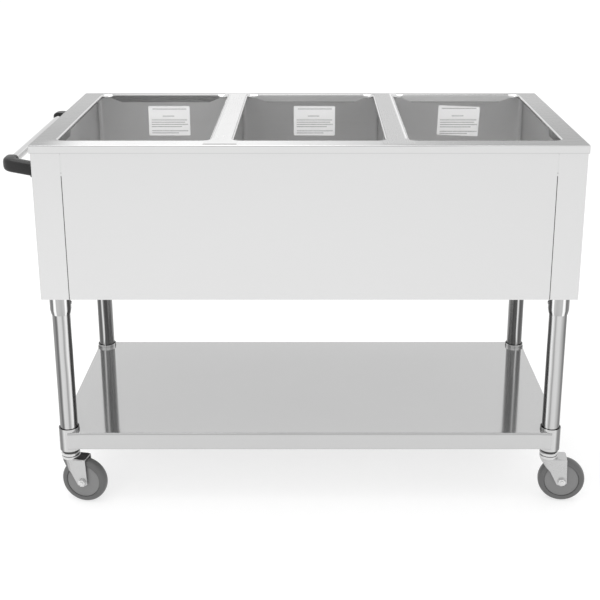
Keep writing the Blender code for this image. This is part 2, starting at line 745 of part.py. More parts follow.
def make_legs():
    bore = LEG_RADIUS + GAP
    socket_top = PAN_Z - GAP
    socket_profile = [
        (SOCKET_RADIUS + 0.002, socket_top),
        (SOCKET_RADIUS + 0.002, socket_top - 0.003),
        (SOCKET_RADIUS, socket_top - 0.003),
        (SOCKET_RADIUS, SOCKET_TAPER_Z),
        (bore + 0.0006, SOCKET_BOTTOM_Z),
        (bore, SOCKET_BOTTOM_Z),
        (bore, socket_top - 0.002),
    ]
    leg_top = socket_top - 0.002 - GAP
    leg_bore = LEG_RADIUS - LEG_WALL
    leg_profile = [(LEG_RADIUS, LEG_BOTTOM_Z), (LEG_RADIUS, leg_top), (leg_bore, leg_top), (leg_bore, LEG_BOTTOM_Z)]
    collar_profile = [
        (COLLAR_RADIUS, LEG_BOTTOM_Z),
        (COLLAR_RADIUS, COLLAR_TOP_Z - 0.002),
        (COLLAR_RADIUS - 0.002, COLLAR_TOP_Z),
        (bore, COLLAR_TOP_Z),
        (bore, LEG_BOTTOM_Z),
    ]
    socket_mesh = to_mesh("leg_socket", lathe(socket_profile, 20))
    leg_mesh = to_mesh("leg", lathe(leg_profile, 20, ring=True))
    collar_mesh = to_mesh("shelf_collar", lathe(collar_profile, 20, ring=True))
    for corner, (sx, sy, _) in CORNERS.items():
        spot = (sx * LEG_X, sy * LEG_Y, 0)
        place(f"{corner}_leg_socket", socket_mesh, "zinc", spot)
        place(f"{corner}_leg", leg_mesh, "chrome", spot)
        place(f"{corner}_shelf_collar", collar_mesh, "polished_steel", spot)


def shelf_outline(inset, z):
    """Plan of the undershelf: a rectangle hollowed at each corner round the collar."""
    edge_x = LEG_X + COLLAR_RADIUS - SHELF_EDGE_INSET - inset
    edge_y = LEG_Y + COLLAR_RADIUS - SHELF_EDGE_INSET - inset
    radius = COLLAR_RADIUS + SHELF_NOTCH_CLEAR + inset
    steps = 8
    points = []
    for sx, sy in ((1, 1), (-1, 1), (-1, -1), (1, -1)):
        along_x = math.sqrt(radius**2 - (edge_y - LEG_Y) ** 2)
        along_y = math.sqrt(radius**2 - (edge_x - LEG_X) ** 2)
        start = math.atan2(-along_y, edge_x - LEG_X)
        end = math.atan2(edge_y - LEG_Y, -along_x) - 2 * math.pi
        arc = []
        for i in range(steps + 1):
            angle = start + (end - start) * i / steps
            x = LEG_X + radius * math.cos(angle)
            y = LEG_Y + radius * math.sin(angle)
            arc.append(Vector((sx * x, sy * y, z)))
        points += arc if sx * sy > 0 else arc[::-1]
    return points


def make_undershelf():
    """Shelf sheet with a deep folded lip and an inward hem along the lip's bottom."""
    bottom_z = SHELF_Z - SHELF_LIP
    bm = bmesh.new()
    rings = [
        (0.0, SHELF_Z),
        (0.0, bottom_z),
        (SHELF_HEM, bottom_z),
        (SHELF_HEM, bottom_z + SHEET),
        (SHEET, bottom_z + SHEET),
        (SHEET, SHELF_Z - SHEET),
    ]
    loops = [add_loop(bm, shelf_outline(inset, z)) for inset, z in rings]
    for first, second in zip(loops, loops[1:]):
        bridge(bm, first, second)
    fill(bm, loops[0])
    fill(bm, loops[-1])
    place("undershelf", to_mesh("undershelf", bm), "polished_steel")


def make_stiffener():
    """Channel under the middle of the shelf, running its length."""
    half, drop = STIFFENER_WIDTH / 2, STIFFENER_DEPTH
    profile = [
        (-half, 0.0),
        (-half, -drop),
        (half, -drop),
        (half, 0.0),
        (half - SHEET, 0.0),
        (half - SHEET, SHEET - drop),
        (SHEET - half, SHEET - drop),
        (SHEET - half, 0.0),
    ]
    outline = [Vector((-STIFFENER_HALF_LENGTH, y, z)) for y, z in profile]
    bm = extrusion(outline, (2 * STIFFENER_HALF_LENGTH, 0, 0))
    location = (0, 0, SHELF_Z - SHEET - GAP)
    place("shelf_stiffener", to_mesh("shelf_stiffener", bm), "satin_steel", location)


# ---------------------------------------------------------------- casters


def make_stem_mesh():
    """Fixed half of a caster: tube insert, flange, upper race, kingpin and riveted head."""
    profile = [
        (STEM_RADIUS - 0.002, LEG_BOTTOM_Z + STEM_LENGTH),
        (STEM_RADIUS, LEG_BOTTOM_Z + STEM_LENGTH - 0.004),
        (STEM_RADIUS, LEG_BOTTOM_Z - GAP),
        (RACE_RADIUS - 0.0015, LEG_BOTTOM_Z - GAP),
        (RACE_RADIUS - 0.0015, RACE_TOP_Z + 0.0055),
        (RACE_RADIUS, RACE_TOP_Z + 0.0045),
        (RACE_RADIUS, RACE_TOP_Z + 0.0015),
        (RACE_RADIUS - 0.002, RACE_TOP_Z + GAP),
        (KINGPIN_RADIUS, RACE_TOP_Z + GAP),
        (KINGPIN_RADIUS, FORK_CROWN_Z - GAP),
        (0.0090, FORK_CROWN_Z - GAP),
        (0.0080, FORK_CROWN_Z - 0.0035),
    ]
    return to_mesh("caster_stem", lathe(profile, 16))


def fork_cheek(inner_y):
    """One side plate of the fork, from the crown down round the axle eye."""
    steps = 6
    top = FORK_CROWN_Z + FORK_PLATE / 2
    outline = [Vector((-FORK_BACK, inner_y, FORK_CROWN_Z - 0.008)), Vector((-FORK_BACK, inner_y, top))]
    outline.append(Vector((FORK_FRONT, inner_y, top)))
    for i in range(steps + 1):
        angle = math.radians(25 - 190 * i / steps)
        x = CASTER_TRAIL + FORK_EYE * math.cos(angle)
        z = WHEEL_RADIUS + FORK_EYE * math.sin(angle)
        outline.append(Vector((x, inner_y, z)))
    return extrusion(outline, (0, FORK_PLATE, 0))


def make_fork_mesh():
    """Swivelling half of a caster: lower race, crown and two cheeks with axle holes."""
    size = (FORK_FRONT + FORK_BACK + 0.001, 2 * (FORK_INNER + FORK_PLATE) + 0.0006, FORK_PLATE)
    middle = ((FORK_FRONT - FORK_BACK) / 2, 0, FORK_CROWN_Z + FORK_PLATE / 2)
    race_base = FORK_CROWN_Z + FORK_PLATE * 0.6
    race_profile = [
        (RACE_RADIUS, race_base),
        (RACE_RADIUS, RACE_TOP_Z - 0.0015),
        (RACE_RADIUS - 0.002, RACE_TOP_Z),
    ]
    race = lathe(race_profile, 16)
    hole = lathe([(KINGPIN_RADIUS + GAP, FORK_CROWN_Z - 0.02), (KINGPIN_RADIUS + GAP, RACE_TOP_Z + 0.01)], 16)
    axle_hole = lathe([(AXLE_HOLE, -0.04), (AXLE_HOLE, 0.04)], 12)
    to_axle = Matrix.Translation((CASTER_TRAIL, 0, WHEEL_RADIUS)) @ Matrix.Rotation(math.pi / 2, 4, "X")
    bmesh.ops.transform(axle_hole, matrix=to_axle, verts=axle_hole.verts)
    return combine(
        "caster_fork",
        block(size, middle),
        ("UNION", fork_cheek(FORK_INNER)),
        ("UNION", fork_cheek(-FORK_INNER - FORK_PLATE)),
        ("UNION", race),
        ("DIFFERENCE", hole),
        ("DIFFERENCE", axle_hole),
    )


def make_axle_mesh():
    """Axle bolt with a hexagon head and a nut, outside the fork's cheeks."""
    count = 12
    seat = FORK_INNER + FORK_PLATE + GAP
    outlines = [
        hexagon(0.0070, -seat - 0.005, count),
        hexagon(0.0075, -seat - 0.004, count),
        hexagon(0.0075, -seat, count),
        circle(AXLE_RADIUS, -seat, count),
        circle(AXLE_RADIUS, seat, count),
        hexagon(0.0075, seat, count),
        hexagon(0.0075, seat + 0.005, count),
        circle(AXLE_RADIUS - 0.0005, seat + 0.005, count),
        circle(AXLE_RADIUS - 0.0010, seat + 0.007, count),
    ]
    return to_mesh("caster_axle", loft(outlines))


def make_wheel_mesh():
    """Solid tyred wheel: hub, recessed web, rim and rounded tread."""
    half = WHEEL_HALF_WIDTH
    side = [
        (AXLE_HOLE, half + 0.0008),
        (HUB_RADIUS, half + 0.0008),
        (HUB_RADIUS + 0.0005, half - 0.0030),
        (WEB_RADIUS, half - 0.0030),
        (WEB_RADIUS + 0.0015, half),
        (WHEEL_RADIUS - 0.0035, half - 0.0005),
        (WHEEL_RADIUS, half - 0.0040),
    ]
    profile = side + [(radius, -z) for radius, z in reversed(side)]
    return to_mesh("caster_wheel", lathe(profile, 28, ring=True))


def make_casters():
    stem_mesh, fork_mesh = make_stem_mesh(), make_fork_mesh()
    axle_mesh, wheel_mesh = make_axle_mesh(), make_wheel_mesh()
    for corner, (sx, sy, trail_angle) in CORNERS.items():
        spot = (sx * LEG_X, sy * LEG_Y, 0)
        place(f"{corner}_caster_stem", stem_mesh, "zinc", spot)
        swivel = add_axis(f"{corner}_swivel_axis", spot, math.radians(trail_angle))
        hub = (CASTER_TRAIL, 0, WHEEL_RADIUS)
        place(f"{corner}_caster_fork", fork_mesh, "zinc", parent=swivel)
        place(f"{corner}_caster_axle", axle_mesh, "zinc", hub, FACE_OPERATOR, swivel)
        place(f"{corner}_caster_wheel", wheel_mesh, "grey_rubber", hub, FACE_OPERATOR, swivel)


# ---------------------------------------------------------------- whole object


def main():
    for obj in list(bpy.data.objects):
        bpy.data.objects.remove(obj)
    make_deck()
    make_side_panels()
    make_folded_panel("front_panel", BODY_BOTTOM_Z, -1)
    make_folded_panel("back_panel", CONTROL_TOP_Z + GAP, 1)
    make_control_panel()
    make_bottom_pan()
    for side, x in WELL_X.items():
        make_liner(side, x)
        make_element(side, x)
        make_switch(side, x)
        make_knob(side, x)
        make_lamp(side, x)
    make_insulation()
    make_gland()
    make_terminal_block()
    make_handle()
    make_legs()
    make_undershelf()
    make_stiffener()
    make_casters()


main()
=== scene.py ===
"""Looks for the mobile three-well electric steam table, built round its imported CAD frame.

Metres, +X to the customer's right, -Y towards the customer, +Z up, as in the frame.
"""

import functools
import math

import bmesh
import bpy
from mathutils import Matrix, Vector


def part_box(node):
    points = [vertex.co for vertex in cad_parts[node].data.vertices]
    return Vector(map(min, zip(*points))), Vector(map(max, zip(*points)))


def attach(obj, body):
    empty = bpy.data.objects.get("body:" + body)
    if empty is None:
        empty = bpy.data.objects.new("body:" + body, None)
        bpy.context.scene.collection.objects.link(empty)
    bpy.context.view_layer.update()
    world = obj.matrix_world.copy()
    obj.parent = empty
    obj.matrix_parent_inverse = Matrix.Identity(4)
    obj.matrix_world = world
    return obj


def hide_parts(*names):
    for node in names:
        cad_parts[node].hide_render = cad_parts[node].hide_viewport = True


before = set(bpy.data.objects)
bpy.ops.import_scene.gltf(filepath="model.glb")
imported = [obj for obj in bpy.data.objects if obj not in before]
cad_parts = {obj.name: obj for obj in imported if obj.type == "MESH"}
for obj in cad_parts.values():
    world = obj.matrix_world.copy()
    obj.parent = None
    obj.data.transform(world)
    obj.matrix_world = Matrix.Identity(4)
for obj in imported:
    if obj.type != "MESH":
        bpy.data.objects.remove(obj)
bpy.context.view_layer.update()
SIDES = ("left", "middle", "right")
CORNERS = ("front_left", "front_right", "rear_left", "rear_right")

# ---------- sizes read from the frame

SHEET = 0.0012
DECK_LOW, DECK_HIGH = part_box("deck_top")
LINER = {side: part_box(f"{side}_well_liner") for side in SIDES}
WELL_X = {side: (LINER[side][0].x + LINER[side][1].x) / 2 for side in SIDES}
FRONT_LOW, FRONT_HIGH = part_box("front_panel")
SHELF_LOW, SHELF_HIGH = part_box("undershelf")
TUBE_LOW, TUBE_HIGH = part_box("handle_tube")
LEG_LOW, LEG_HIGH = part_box("rear_right_leg")
LEG_RADIUS = (LEG_HIGH.x - LEG_LOW.x) / 2

OPENING_X, OPENING_Y = 0.307, 0.505  # clear opening of each well
OPENING_CENTER_Y = 0.013
OPENING_CORNER = 0.016
FLANGE_DEEP, FLANGE_SHORT = 0.019, 0.0065
TAPER = 0.030  # length over which a flange grows from its corner
TAB_END_Y = -0.109  # outer wells: end of the deep tab on the outer edge
BEND = 0.0028  # outer radius of the fold round an opening
CORNER_BEND = 0.0065  # where the metal curls at an opening's back corners
CURL_INSET = 0.012  # middle of each curl, from the opening's side
HEM = 0.0016  # lowest strip of a folded edge, painted darker as shade
AXIS = 0.0001  # where a turned solid's profile starts and ends beside its axis
SKIRT_BEND = 0.0020
SKIRT_DROP = 0.0165
STRAP_Z = DECK_HIGH.z  # the divider straps lie this high, the deck just below them
DECK_Z = DECK_HIGH.z - 0.0003


def middle(box):
    return (box[0] + box[1]) / 2


def turn(axis, degrees):
    return Matrix.Rotation(math.radians(degrees), 4, axis)


def shift(x=0.0, y=0.0, z=0.0):
    return Matrix.Translation((x, y, z))


TOWARDS_CUSTOMER = turn("X", 90)  # turns a piece's +Z
TOWARDS_OPERATOR = turn("X", -90)


# ---------- materials


def node(tree, kind, inputs=None, **settings):
    """Adds a shader node. Inputs are values or sockets, keyed by name or index."""
    made = tree.nodes.new(kind)
    for key, value in settings.items():
        setattr(made, key, value)
    for key, value in (inputs or {}).items():
        if isinstance(value, bpy.types.NodeSocket):
            tree.links.new(value, made.inputs[key])
        else:
            made.inputs[key].default_value = value
    return made


def calc(tree, operation, *values):
    """Result of a math node on values or sockets."""
    return node(tree, "ShaderNodeMath", dict(enumerate(values)), operation=operation).outputs[0]


def coordinate(tree, kind):
    return node(tree, "ShaderNodeTexCoord").outputs[kind]


def split(tree, vector):
    """X, Y and Z of a vector."""
    return node(tree, "ShaderNodeSeparateXYZ", {0: vector}).outputs


def noise(tree, scale, detail=2.0, stretch=(1.0, 1.0, 1.0), distortion=0.0):
    """Noise in metres on the object, stretched along an axis where its factor is small."""
    mapping = node(tree, "ShaderNodeMapping", {0: coordinate(tree, "Object"), "Scale": stretch})
    inputs = {0: mapping.outputs[0], "Scale": scale, "Detail": detail, "Distortion": distortion}
    return node(tree, "ShaderNodeTexNoise", inputs).outputs["Fac"]


def spread(tree, value, low, high):
    """The middle of a noise's range turned into a range of values."""
    inputs = {0: value, "From Min": 0.3, "From Max": 0.7, "To Min": low, "To Max": high}
    return node(tree, "ShaderNodeMapRange", inputs).outputs[0]


def mixed(tree, factor, first, second):
    """One colour or socket mixed into another."""
    inputs = {0: factor}
    for index, colour in ((6, first), (7, second)):
        inputs[index] = colour if isinstance(colour, bpy.types.NodeSocket) else (*colour, 1)
    return node(tree, "ShaderNodeMix", inputs, data_type="RGBA").outputs[2]


def new_material(name):
    """A material with its node tree and shader."""
    material = bpy.data.materials.new(name)
    material.use_nodes = True
    return material, material.node_tree, material.node_tree.nodes["Principled BSDF"]


def coat(tree, shader, colour, rough, metallic):
    """Gives a shader its colour and roughness, which vary over the surface, and its metallic value."""
    tree.links.new(colour, shader.inputs["Base Color"])
    tree.links.new(rough, shader.inputs["Roughness"])
    shader.inputs["Metallic"].default_value = metallic


def finish(name, tones, rough, bump, metallic, fine, broad=6.0, stretch=(1, 1, 1), **constants):
    """A surface with fine grain and broad smudges: colour, roughness and bump follow both."""
    material, tree, shader = new_material(name)
    grain = noise(tree, fine, 3.0, stretch)
    cloud = noise(tree, broad, 3.0, distortion=0.4)
    both = node(tree, "ShaderNodeMix", {0: 0.5, 2: grain, 3: cloud}).outputs[0]
    colour = mixed(tree, spread(tree, both, 0.0, 1.0), *tones)
    coat(tree, shader, colour, spread(tree, both, *rough), metallic)
    height = node(tree, "ShaderNodeBump", {"Strength": bump[0], "Distance": bump[1], "Height": grain})
    tree.links.new(height.outputs[0], shader.inputs["Normal"])
    for key, value in constants.items():
        shader.inputs[key.replace("_", " ")].default_value = value
    return material


def grey(value):
    return (value, value, value)


def greys(dark, light):
    return grey(dark), grey(light)


def paint_reflection(material, tone, *rises):
    """Mixes a grey in where each rise, (axis, start, end) along the object, has taken place: a painted
    reflection laid over a material by place.
    """
    tree = material.node_tree
    colour = tree.nodes["Principled BSDF"].inputs["Base Color"]
    place = split(tree, coordinate(tree, "Object"))
    share = None
    for axis, start, end in rises:
        inputs = {0: place[axis], "From Min": start, "From Max": end}
        rise = node(tree, "ShaderNodeMapRange", inputs, interpolation_type="SMOOTHSTEP").outputs[0]
        share = calc(tree, "MULTIPLY", share, rise) if share else rise
    tree.links.new(mixed(tree, share, colour.links[0].from_socket, grey(tone)), colour)


ALONG_X = (0.012, 1.0, 1.0)
ALONG_Y = (1.0, 0.012, 1.0)
ALONG_Z = (1.0, 1.0, 0.02)
X, Y = 0, 1


def brushed(name, dark, light, rough, bump=(0.03, 0.0002), broad=4, stretch=ALONG_X, fine=900, metallic=1.0):
    """Brushed metal between two greys, its grain along one axis."""
    return finish(name, greys(dark, light), rough, bump, metallic, fine, broad, stretch)


def casting(name, dark, light, rough, bump):
    """Plated or bare metal with no grain direction."""
    return finish(name, greys(dark, light), rough, bump, 1.0, 700, 30)


def moulded(name, tones, rough, bump, fine=900, broad=60, **constants):
    """Plastic, rubber, print or another surface that isn't metal."""
    return finish(name, tones, rough, bump, 0.0, fine, broad, **constants)


SATIN, MATT, LIP_ROUGH = (0.24, 0.34), (0.34, 0.44), (0.26, 0.36)  # roughness ranges
PANEL_BUMP, LIP_BUMP = (0.06, 0.0003), (0.03, 0.0003)  # strength, height
# deck top: painted darker than its skirt, which takes front_steel, as the reflection it shows; the three
# mixes below paint brighter reflections towards the left, towards the back, and a bright band along the
# front band from its left end to the middle
deck_steel = brushed("deck_steel", 0.275, 0.300, (0.22, 0.32), PANEL_BUMP)
paint_reflection(deck_steel, 0.33, (X, 0.40, -0.40))
paint_reflection(deck_steel, 0.40, (Y, -0.22, 0.28))
paint_reflection(deck_steel, 0.90, (Y, -0.2385, -0.2425), (X, 0.42, -0.24), (X, -0.545, -0.44))
front_steel = brushed("front_steel", 0.655, 0.675, MATT, PANEL_BUMP)
side_steel = brushed("side_steel", 0.65, 0.68, (0.30, 0.42), PANEL_BUMP, stretch=ALONG_Y)
liner_steel = brushed("liner_steel", 0.685, 0.715, (0.30, 0.36), (0.02, 0.0002), fine=700)
# painted reflection: the pans of the two outer wells are painted brighter than the middle one
paint_reflection(liner_steel, 0.775, (X, -0.12, -0.24))
paint_reflection(liner_steel, 0.76, (X, 0.12, 0.24))
# lit and shaded copies of the strap metal: the left strap is painted brighter as a reflection, the right one
# darker
strap_painted_reflection = brushed("strap_painted_reflection", 0.78, 0.82, SATIN, broad=9, stretch=ALONG_Y)
strap_steel = brushed("strap_steel", 0.48, 0.50, SATIN, broad=9, stretch=ALONG_Y)
# painted reflection: the back flanges of the middle and right wells are made lighter and less metallic,
# brighter still on the right well
flange_painted_reflection = brushed("flange_painted_reflection", 0.46, 0.50, MATT, (0.05, 0.0002), 9, metallic=0.35)
paint_reflection(flange_painted_reflection, 0.60, (X, 0.12, 0.24))
# painted shade on the lowest strip of the back flanges
flange_hem_painted_shade = brushed("flange_hem_painted_shade", 0.22, 0.28, MATT, broad=9, metallic=0.35)
# painted shade along the bend between the deck and its skirt, painted lighter towards the right end
skirt_bend_painted_shade = brushed("skirt_bend_painted_shade", 0.44, 0.48, (0.30, 0.40), broad=9)
paint_reflection(skirt_bend_painted_shade, 0.64, (X, 0.22, 0.36))
# painted shade along the skirt's lowest strip
skirt_hem_painted_shade = brushed("skirt_hem_painted_shade", 0.56, 0.58, MATT, broad=9)
# painted highlights on the folds round the openings, dimmer on their sides
fold_painted_highlight = brushed("fold_painted_highlight", 0.90, 0.96, (0.16, 0.26), broad=20, stretch=ALONG_Y)
side_fold_painted_highlight = brushed("side_fold_painted_highlight", 0.68, 0.74, (0.18, 0.28), broad=20, stretch=ALONG_Y)
shelf_steel = brushed("shelf_steel", 0.545, 0.565, (0.055, 0.085), (0.01, 0.0001), 3, metallic=0.82)
lip_steel = brushed("lip_steel", 0.545, 0.565, LIP_ROUGH, (0.04, 0.0003))
# painted shade along the lip's strip under its rolled top edge and along its lowest strip
lip_edge_painted_shade = brushed("lip_edge_painted_shade", 0.38, 0.42, LIP_ROUGH, LIP_BUMP)
lip_hem_painted_shade = brushed("lip_hem_painted_shade", 0.47, 0.50, LIP_ROUGH, LIP_BUMP)
dull_steel = brushed("dull_steel", 0.48, 0.60, (0.36, 0.50), (0.15, 0.0004), 9, fine=500)
dial_metal = brushed("dial_metal", 0.70, 0.80, (0.28, 0.40), (0.1, 0.0002), 30)
zinc = casting("zinc", 0.50, 0.56, SATIN, (0.08, 0.0003))
bright_zinc = casting("bright_zinc", 0.62, 0.70, (0.16, 0.26), (0.06, 0.0002))
# near black painted shadow: under the left strap's foot, in the front seams, on the caster necks and on the
# left casters' crowns
painted_shadow_steel = casting("painted_shadow_steel", 0.05, 0.08, (0.24, 0.36), (0.06, 0.0002))
chrome = brushed("chrome", 0.62, 0.70, (0.06, 0.12), (0.04, 0.0002), 20, ALONG_Z, 700)
SHEATH_TONES = ((0.12, 0.11, 0.10), (0.24, 0.21, 0.19))
sheath = finish("element_sheath", SHEATH_TONES, (0.45, 0.65), (0.3, 0.0004), 0.8, 900, 25)
IVORY_TONES = ((0.62, 0.58, 0.48), (0.72, 0.68, 0.58))
ivory_plastic = moulded("ivory_plastic", IVORY_TONES, (0.4, 0.55), (0.1, 0.0003), broad=30)
black_plastic = moulded(
    "black_plastic", greys(0.013, 0.022), (0.30, 0.42), (0.2, 0.0003), 1400, 18, Specular_IOR_Level=0.3
)
rubber = moulded("wheel_rubber", greys(0.082, 0.110), (0.34, 0.46), (0.2, 0.0004), 1100, 24)
hub_plastic = moulded("hub_plastic", greys(0.165, 0.195), (0.36, 0.48), (0.1, 0.0003), broad=22)
wool = moulded("insulation_wool", greys(0.10, 0.16), (0.85, 1.0), (0.8, 0.003), 260, 20)
LENS_TONES = ((0.62, 0.10, 0.02), (0.85, 0.22, 0.04))
lens = moulded("lamp_lens", LENS_TONES, (0.10, 0.18), (0.1, 0.0003), 400)
dark_print = moulded("dark_print", greys(0.02, 0.05), (0.45, 0.6), (0.1, 0.0001))


# Painted reflections on a tube: the way it would mirror the studio round it, painted into its colour
# as pairs of thousandths of a turn from the customer side and percent of the light returned, painted as a
# grey.
LEG_BANDS = [
    (0, 56), (30, 55), (48, 50), (62, 32), (80, 34), (100, 56), (118, 74), (138, 76), (153, 48),
    (168, 14), (209, 7), (260, 6), (300, 24), (360, 50), (420, 26), (470, 70), (520, 48), (580, 20),
    (640, 60), (700, 30), (770, 14),
]
# the rest of the same, on the side turned away from the table's middle
LEFT_OUTER_BANDS = [
    (830, 16), (864, 18), (896, 23), (922, 15), (944, 10), (965, 25), (982, 56), (1000, 56),
]
RIGHT_OUTER_BANDS = [
    (830, 10), (864, 10), (896, 20), (922, 34), (944, 41), (965, 50), (982, 56), (1000, 56),
]
SOCKET_BANDS = [
    (0, 44), (60, 38), (100, 46), (112, 90), (134, 90), (150, 14), (210, 7), (290, 30), (420, 60),
    (500, 46), (640, 56), (760, 10), (850, 16), (922, 14), (936, 80), (966, 90), (980, 42), (1000, 44),
]
COLLAR_BANDS = [
    (0, 57), (110, 57), (150, 62), (172, 84), (188, 72), (204, 12), (240, 8), (280, 40), (340, 42),
    (500, 54), (640, 50), (700, 14), (760, 10), (834, 11), (874, 17), (901, 19), (919, 29), (940, 54),
    (955, 62), (973, 59), (1000, 57),
]
REAR_BANDS = [
    (0, 18), (10, 15), (48, 11), (74, 9), (90, 22), (98, 30), (127, 28), (150, 15), (170, 15),
    (197, 21), (250, 30), (290, 20), (340, 12), (400, 52), (460, 30), (520, 56), (580, 20), (640, 50),
    (700, 20), (782, 16), (850, 10), (905, 8), (935, 8), (953, 20), (966, 56), (977, 72), (988, 50),
    (1000, 18),
]
# the same for the handle's tube, from below and turning towards the body
GRIP_BANDS = [
    (0, 50), (115, 62), (160, 74), (230, 80), (330, 84), (370, 82), (395, 68), (430, 62), (500, 60),
    (560, 56), (620, 70), (700, 80), (850, 60), (1000, 50),
]
# the rounded back of a caster's fork, painted dark as shade where it turns away
FORK_BANDS = [
    (0, 60), (200, 56), (300, 26), (420, 50), (560, 44), (700, 6), (860, 7), (905, 13), (925, 24),
    (945, 44), (962, 58), (1000, 58),
]


def painted_reflection_chrome(name, bands, upright=True, rough=(0.05, 0.12), wander=0.010):
    """Bright plate on a tube, with painted reflections: long light and dark streaks painted into its colour
    by the way its surface faces.

    An upright tube's bands start at its customer side, a level one's along Y at its underside.
    """
    material, tree, shader = new_material(name)
    normal = split(tree, coordinate(tree, "Normal"))
    back = calc(tree, "MULTIPLY", normal[1 if upright else 2], -1.0)
    angle = calc(tree, "ARCTAN2", normal[0], back)
    streaks = noise(tree, 14.0, 2.0, (1.0, 1.0, 0.25) if upright else (1.0, 0.25, 1.0))
    drift = spread(tree, streaks, -wander, wander)
    place = calc(tree, "ADD", calc(tree, "MULTIPLY", angle, 1 / (2 * math.pi)), drift)
    ramp = node(tree, "ShaderNodeValToRGB", {0: calc(tree, "FRACT", place)})
    stops = ramp.color_ramp.elements
    for i, (position, value) in enumerate(bands):
        stop = stops[i] if i < 2 else stops.new(position)
        stop.position = position / 1000
        stop.color = (*grey(value / 100), 1)
    grain = noise(tree, 700, 3.0, ALONG_Z if upright else ALONG_Y)
    colour = mixed(tree, spread(tree, grain, 0.0, 0.10), ramp.outputs[0], grey(0.4))
    coat(tree, shader, colour, spread(tree, grain, *rough), 1.0)
    return material


def mirrored(bands):
    return [(1000 - position, value) for position, value in reversed(bands)]


def chrome_set(name, left, right=None, wander=0.010):
    """Painted reflection bands for the left of the table and their mirror image for the right, which may
    differ.
    """
    return {
        "left": painted_reflection_chrome(f"{name}_left", left, wander=wander),
        "right": painted_reflection_chrome(f"{name}_right", mirrored(right or left), wander=wander),
    }


LEG_CHROME = chrome_set("leg_chrome", LEG_BANDS + LEFT_OUTER_BANDS, LEG_BANDS + RIGHT_OUTER_BANDS, 0.020)
REAR_CHROME = chrome_set("rear_leg_chrome", REAR_BANDS, wander=0.014)
SOCKET_CHROME = chrome_set("socket_chrome", SOCKET_BANDS)
COLLAR_CHROME = chrome_set("collar_chrome", COLLAR_BANDS)
fork_back_painted_shade = painted_reflection_chrome("fork_back_painted_shade", FORK_BANDS, rough=(0.22, 0.32))
grip_chrome = painted_reflection_chrome("grip_chrome", GRIP_BANDS, upright=False)


def notice_paper():
    """White paper with grey bars where the lines of a printed notice would be."""
    material, tree, shader = new_material("notice_paper")
    place = split(tree, coordinate(tree, "Generated"))
    # height of each bar on the sheet, its left and right ends
    bars = [(0.90, 0.10, 0.92), (0.66, 0.34, 0.62)]
    bars += [(0.53 - 0.075 * i, 0.07, end) for i, end in enumerate((0.93, 0.88, 0.95, 0.80))]
    bars += [(0.16 - 0.07 * i, 0.07, end) for i, end in enumerate((0.95, 0.72))]
    half_height = 0.017
    ink = None
    for height, start, end in bars:
        off = calc(tree, "ABSOLUTE", calc(tree, "SUBTRACT", place[0], (start + end) / 2))
        across = calc(tree, "LESS_THAN", off, (end - start) / 2)
        bar = calc(tree, "MULTIPLY", across, calc(tree, "COMPARE", place[2], height, half_height))
        ink = calc(tree, "MAXIMUM", ink, bar) if ink else bar
    faint = calc(tree, "MULTIPLY", ink, spread(tree, noise(tree, 500), 0.45, 0.9))
    colour = mixed(tree, faint, *greys(0.97, 0.36))
    coat(tree, shader, colour, spread(tree, noise(tree, 60), 0.5, 0.7), 0.0)
    return material


paper = notice_paper()

# ---------- mesh helpers


def angles(count):
    """One full turn in equal steps."""
    return [2 * math.pi * i / count for i in range(count)]


def quarter_turn(steps):
    """Cosine and sine along a quarter of a turn."""
    swing = [math.pi / 2 * i / steps for i in range(steps + 1)]
    return [(math.cos(a), math.sin(a)) for a in swing]


def at_height(points, z):
    """Points of a plane outline at a height."""
    return [Vector((point[0], point[1], z)) for point in points]


def loop(bm, points):
    return [bm.verts.new(point) for point in points]


def bridge(bm, first, second):
    count = len(first)
    for i in range(count):
        j = (i + 1) % count
        bm.faces.new((first[i], first[j], second[j], second[i]))


def loft(outlines, ring=False):
    """Skin over closed outlines of one count, capped unless ring joins the last to the first."""
    bm = bmesh.new()
    loops = [loop(bm, outline) for outline in outlines]
    for first, second in zip(loops, loops[1:]):
        bridge(bm, first, second)
    if ring:
        bridge(bm, loops[-1], loops[0])
    else:
        bm.faces.new(loops[0][::-1])
        bm.faces.new(loops[-1])
    return bm


def rounded(profile, radius, steps=4, closed=False):
    """Profile with each corner turned into an arc, smaller where a side is short."""
    points = [Vector(point) for point in profile]
    last = len(points) - 1
    made = []
    for i, corner in enumerate(points):
        if not closed and i in (0, last):
            made.append(corner)
            continue
        before, after = points[i - 1] - corner, points[(i + 1) % len(points)] - corner
        angle = before.angle(after)
        if angle > math.radians(165):
            made.append(corner)
            continue
        reach = min(radius / math.tan(angle / 2), before.length * 0.48, after.length * 0.48)
        start, end = corner + before.normalized() * reach, corner + after.normalized() * reach
        for k in range(steps + 1):
            t = k / steps
            made.append((1 - t) ** 2 * start + 2 * t * (1 - t) * corner + t**2 * end)
    return made


def lathe(profile, segments, radius=0.0004, ring=False, steps=2):
    """Solid turned round Z from (radius, height) points."""
    rings = []
    for r, z in rounded(profile, radius, steps, closed=ring):
        rings.append([Vector((r * math.cos(a), r * math.sin(a), z)) for a in angles(segments)])
    return loft(rings, ring)


def pipe(outer, inner, low, high, segments, edge):
    """Tube along Z between two heights, its edges rounded."""
    return lathe([(outer, low), (outer, high), (inner, high), (inner, low)], segments, edge, ring=True)


def arc(center, radius, start, end, steps):
    """Points on a circle between two angles in degrees."""
    swing = [math.radians(start + (end - start) * i / steps) for i in range(steps + 1)]
    return [Vector((center[0] + radius * math.cos(a), center[1] + radius * math.sin(a))) for a in swing]


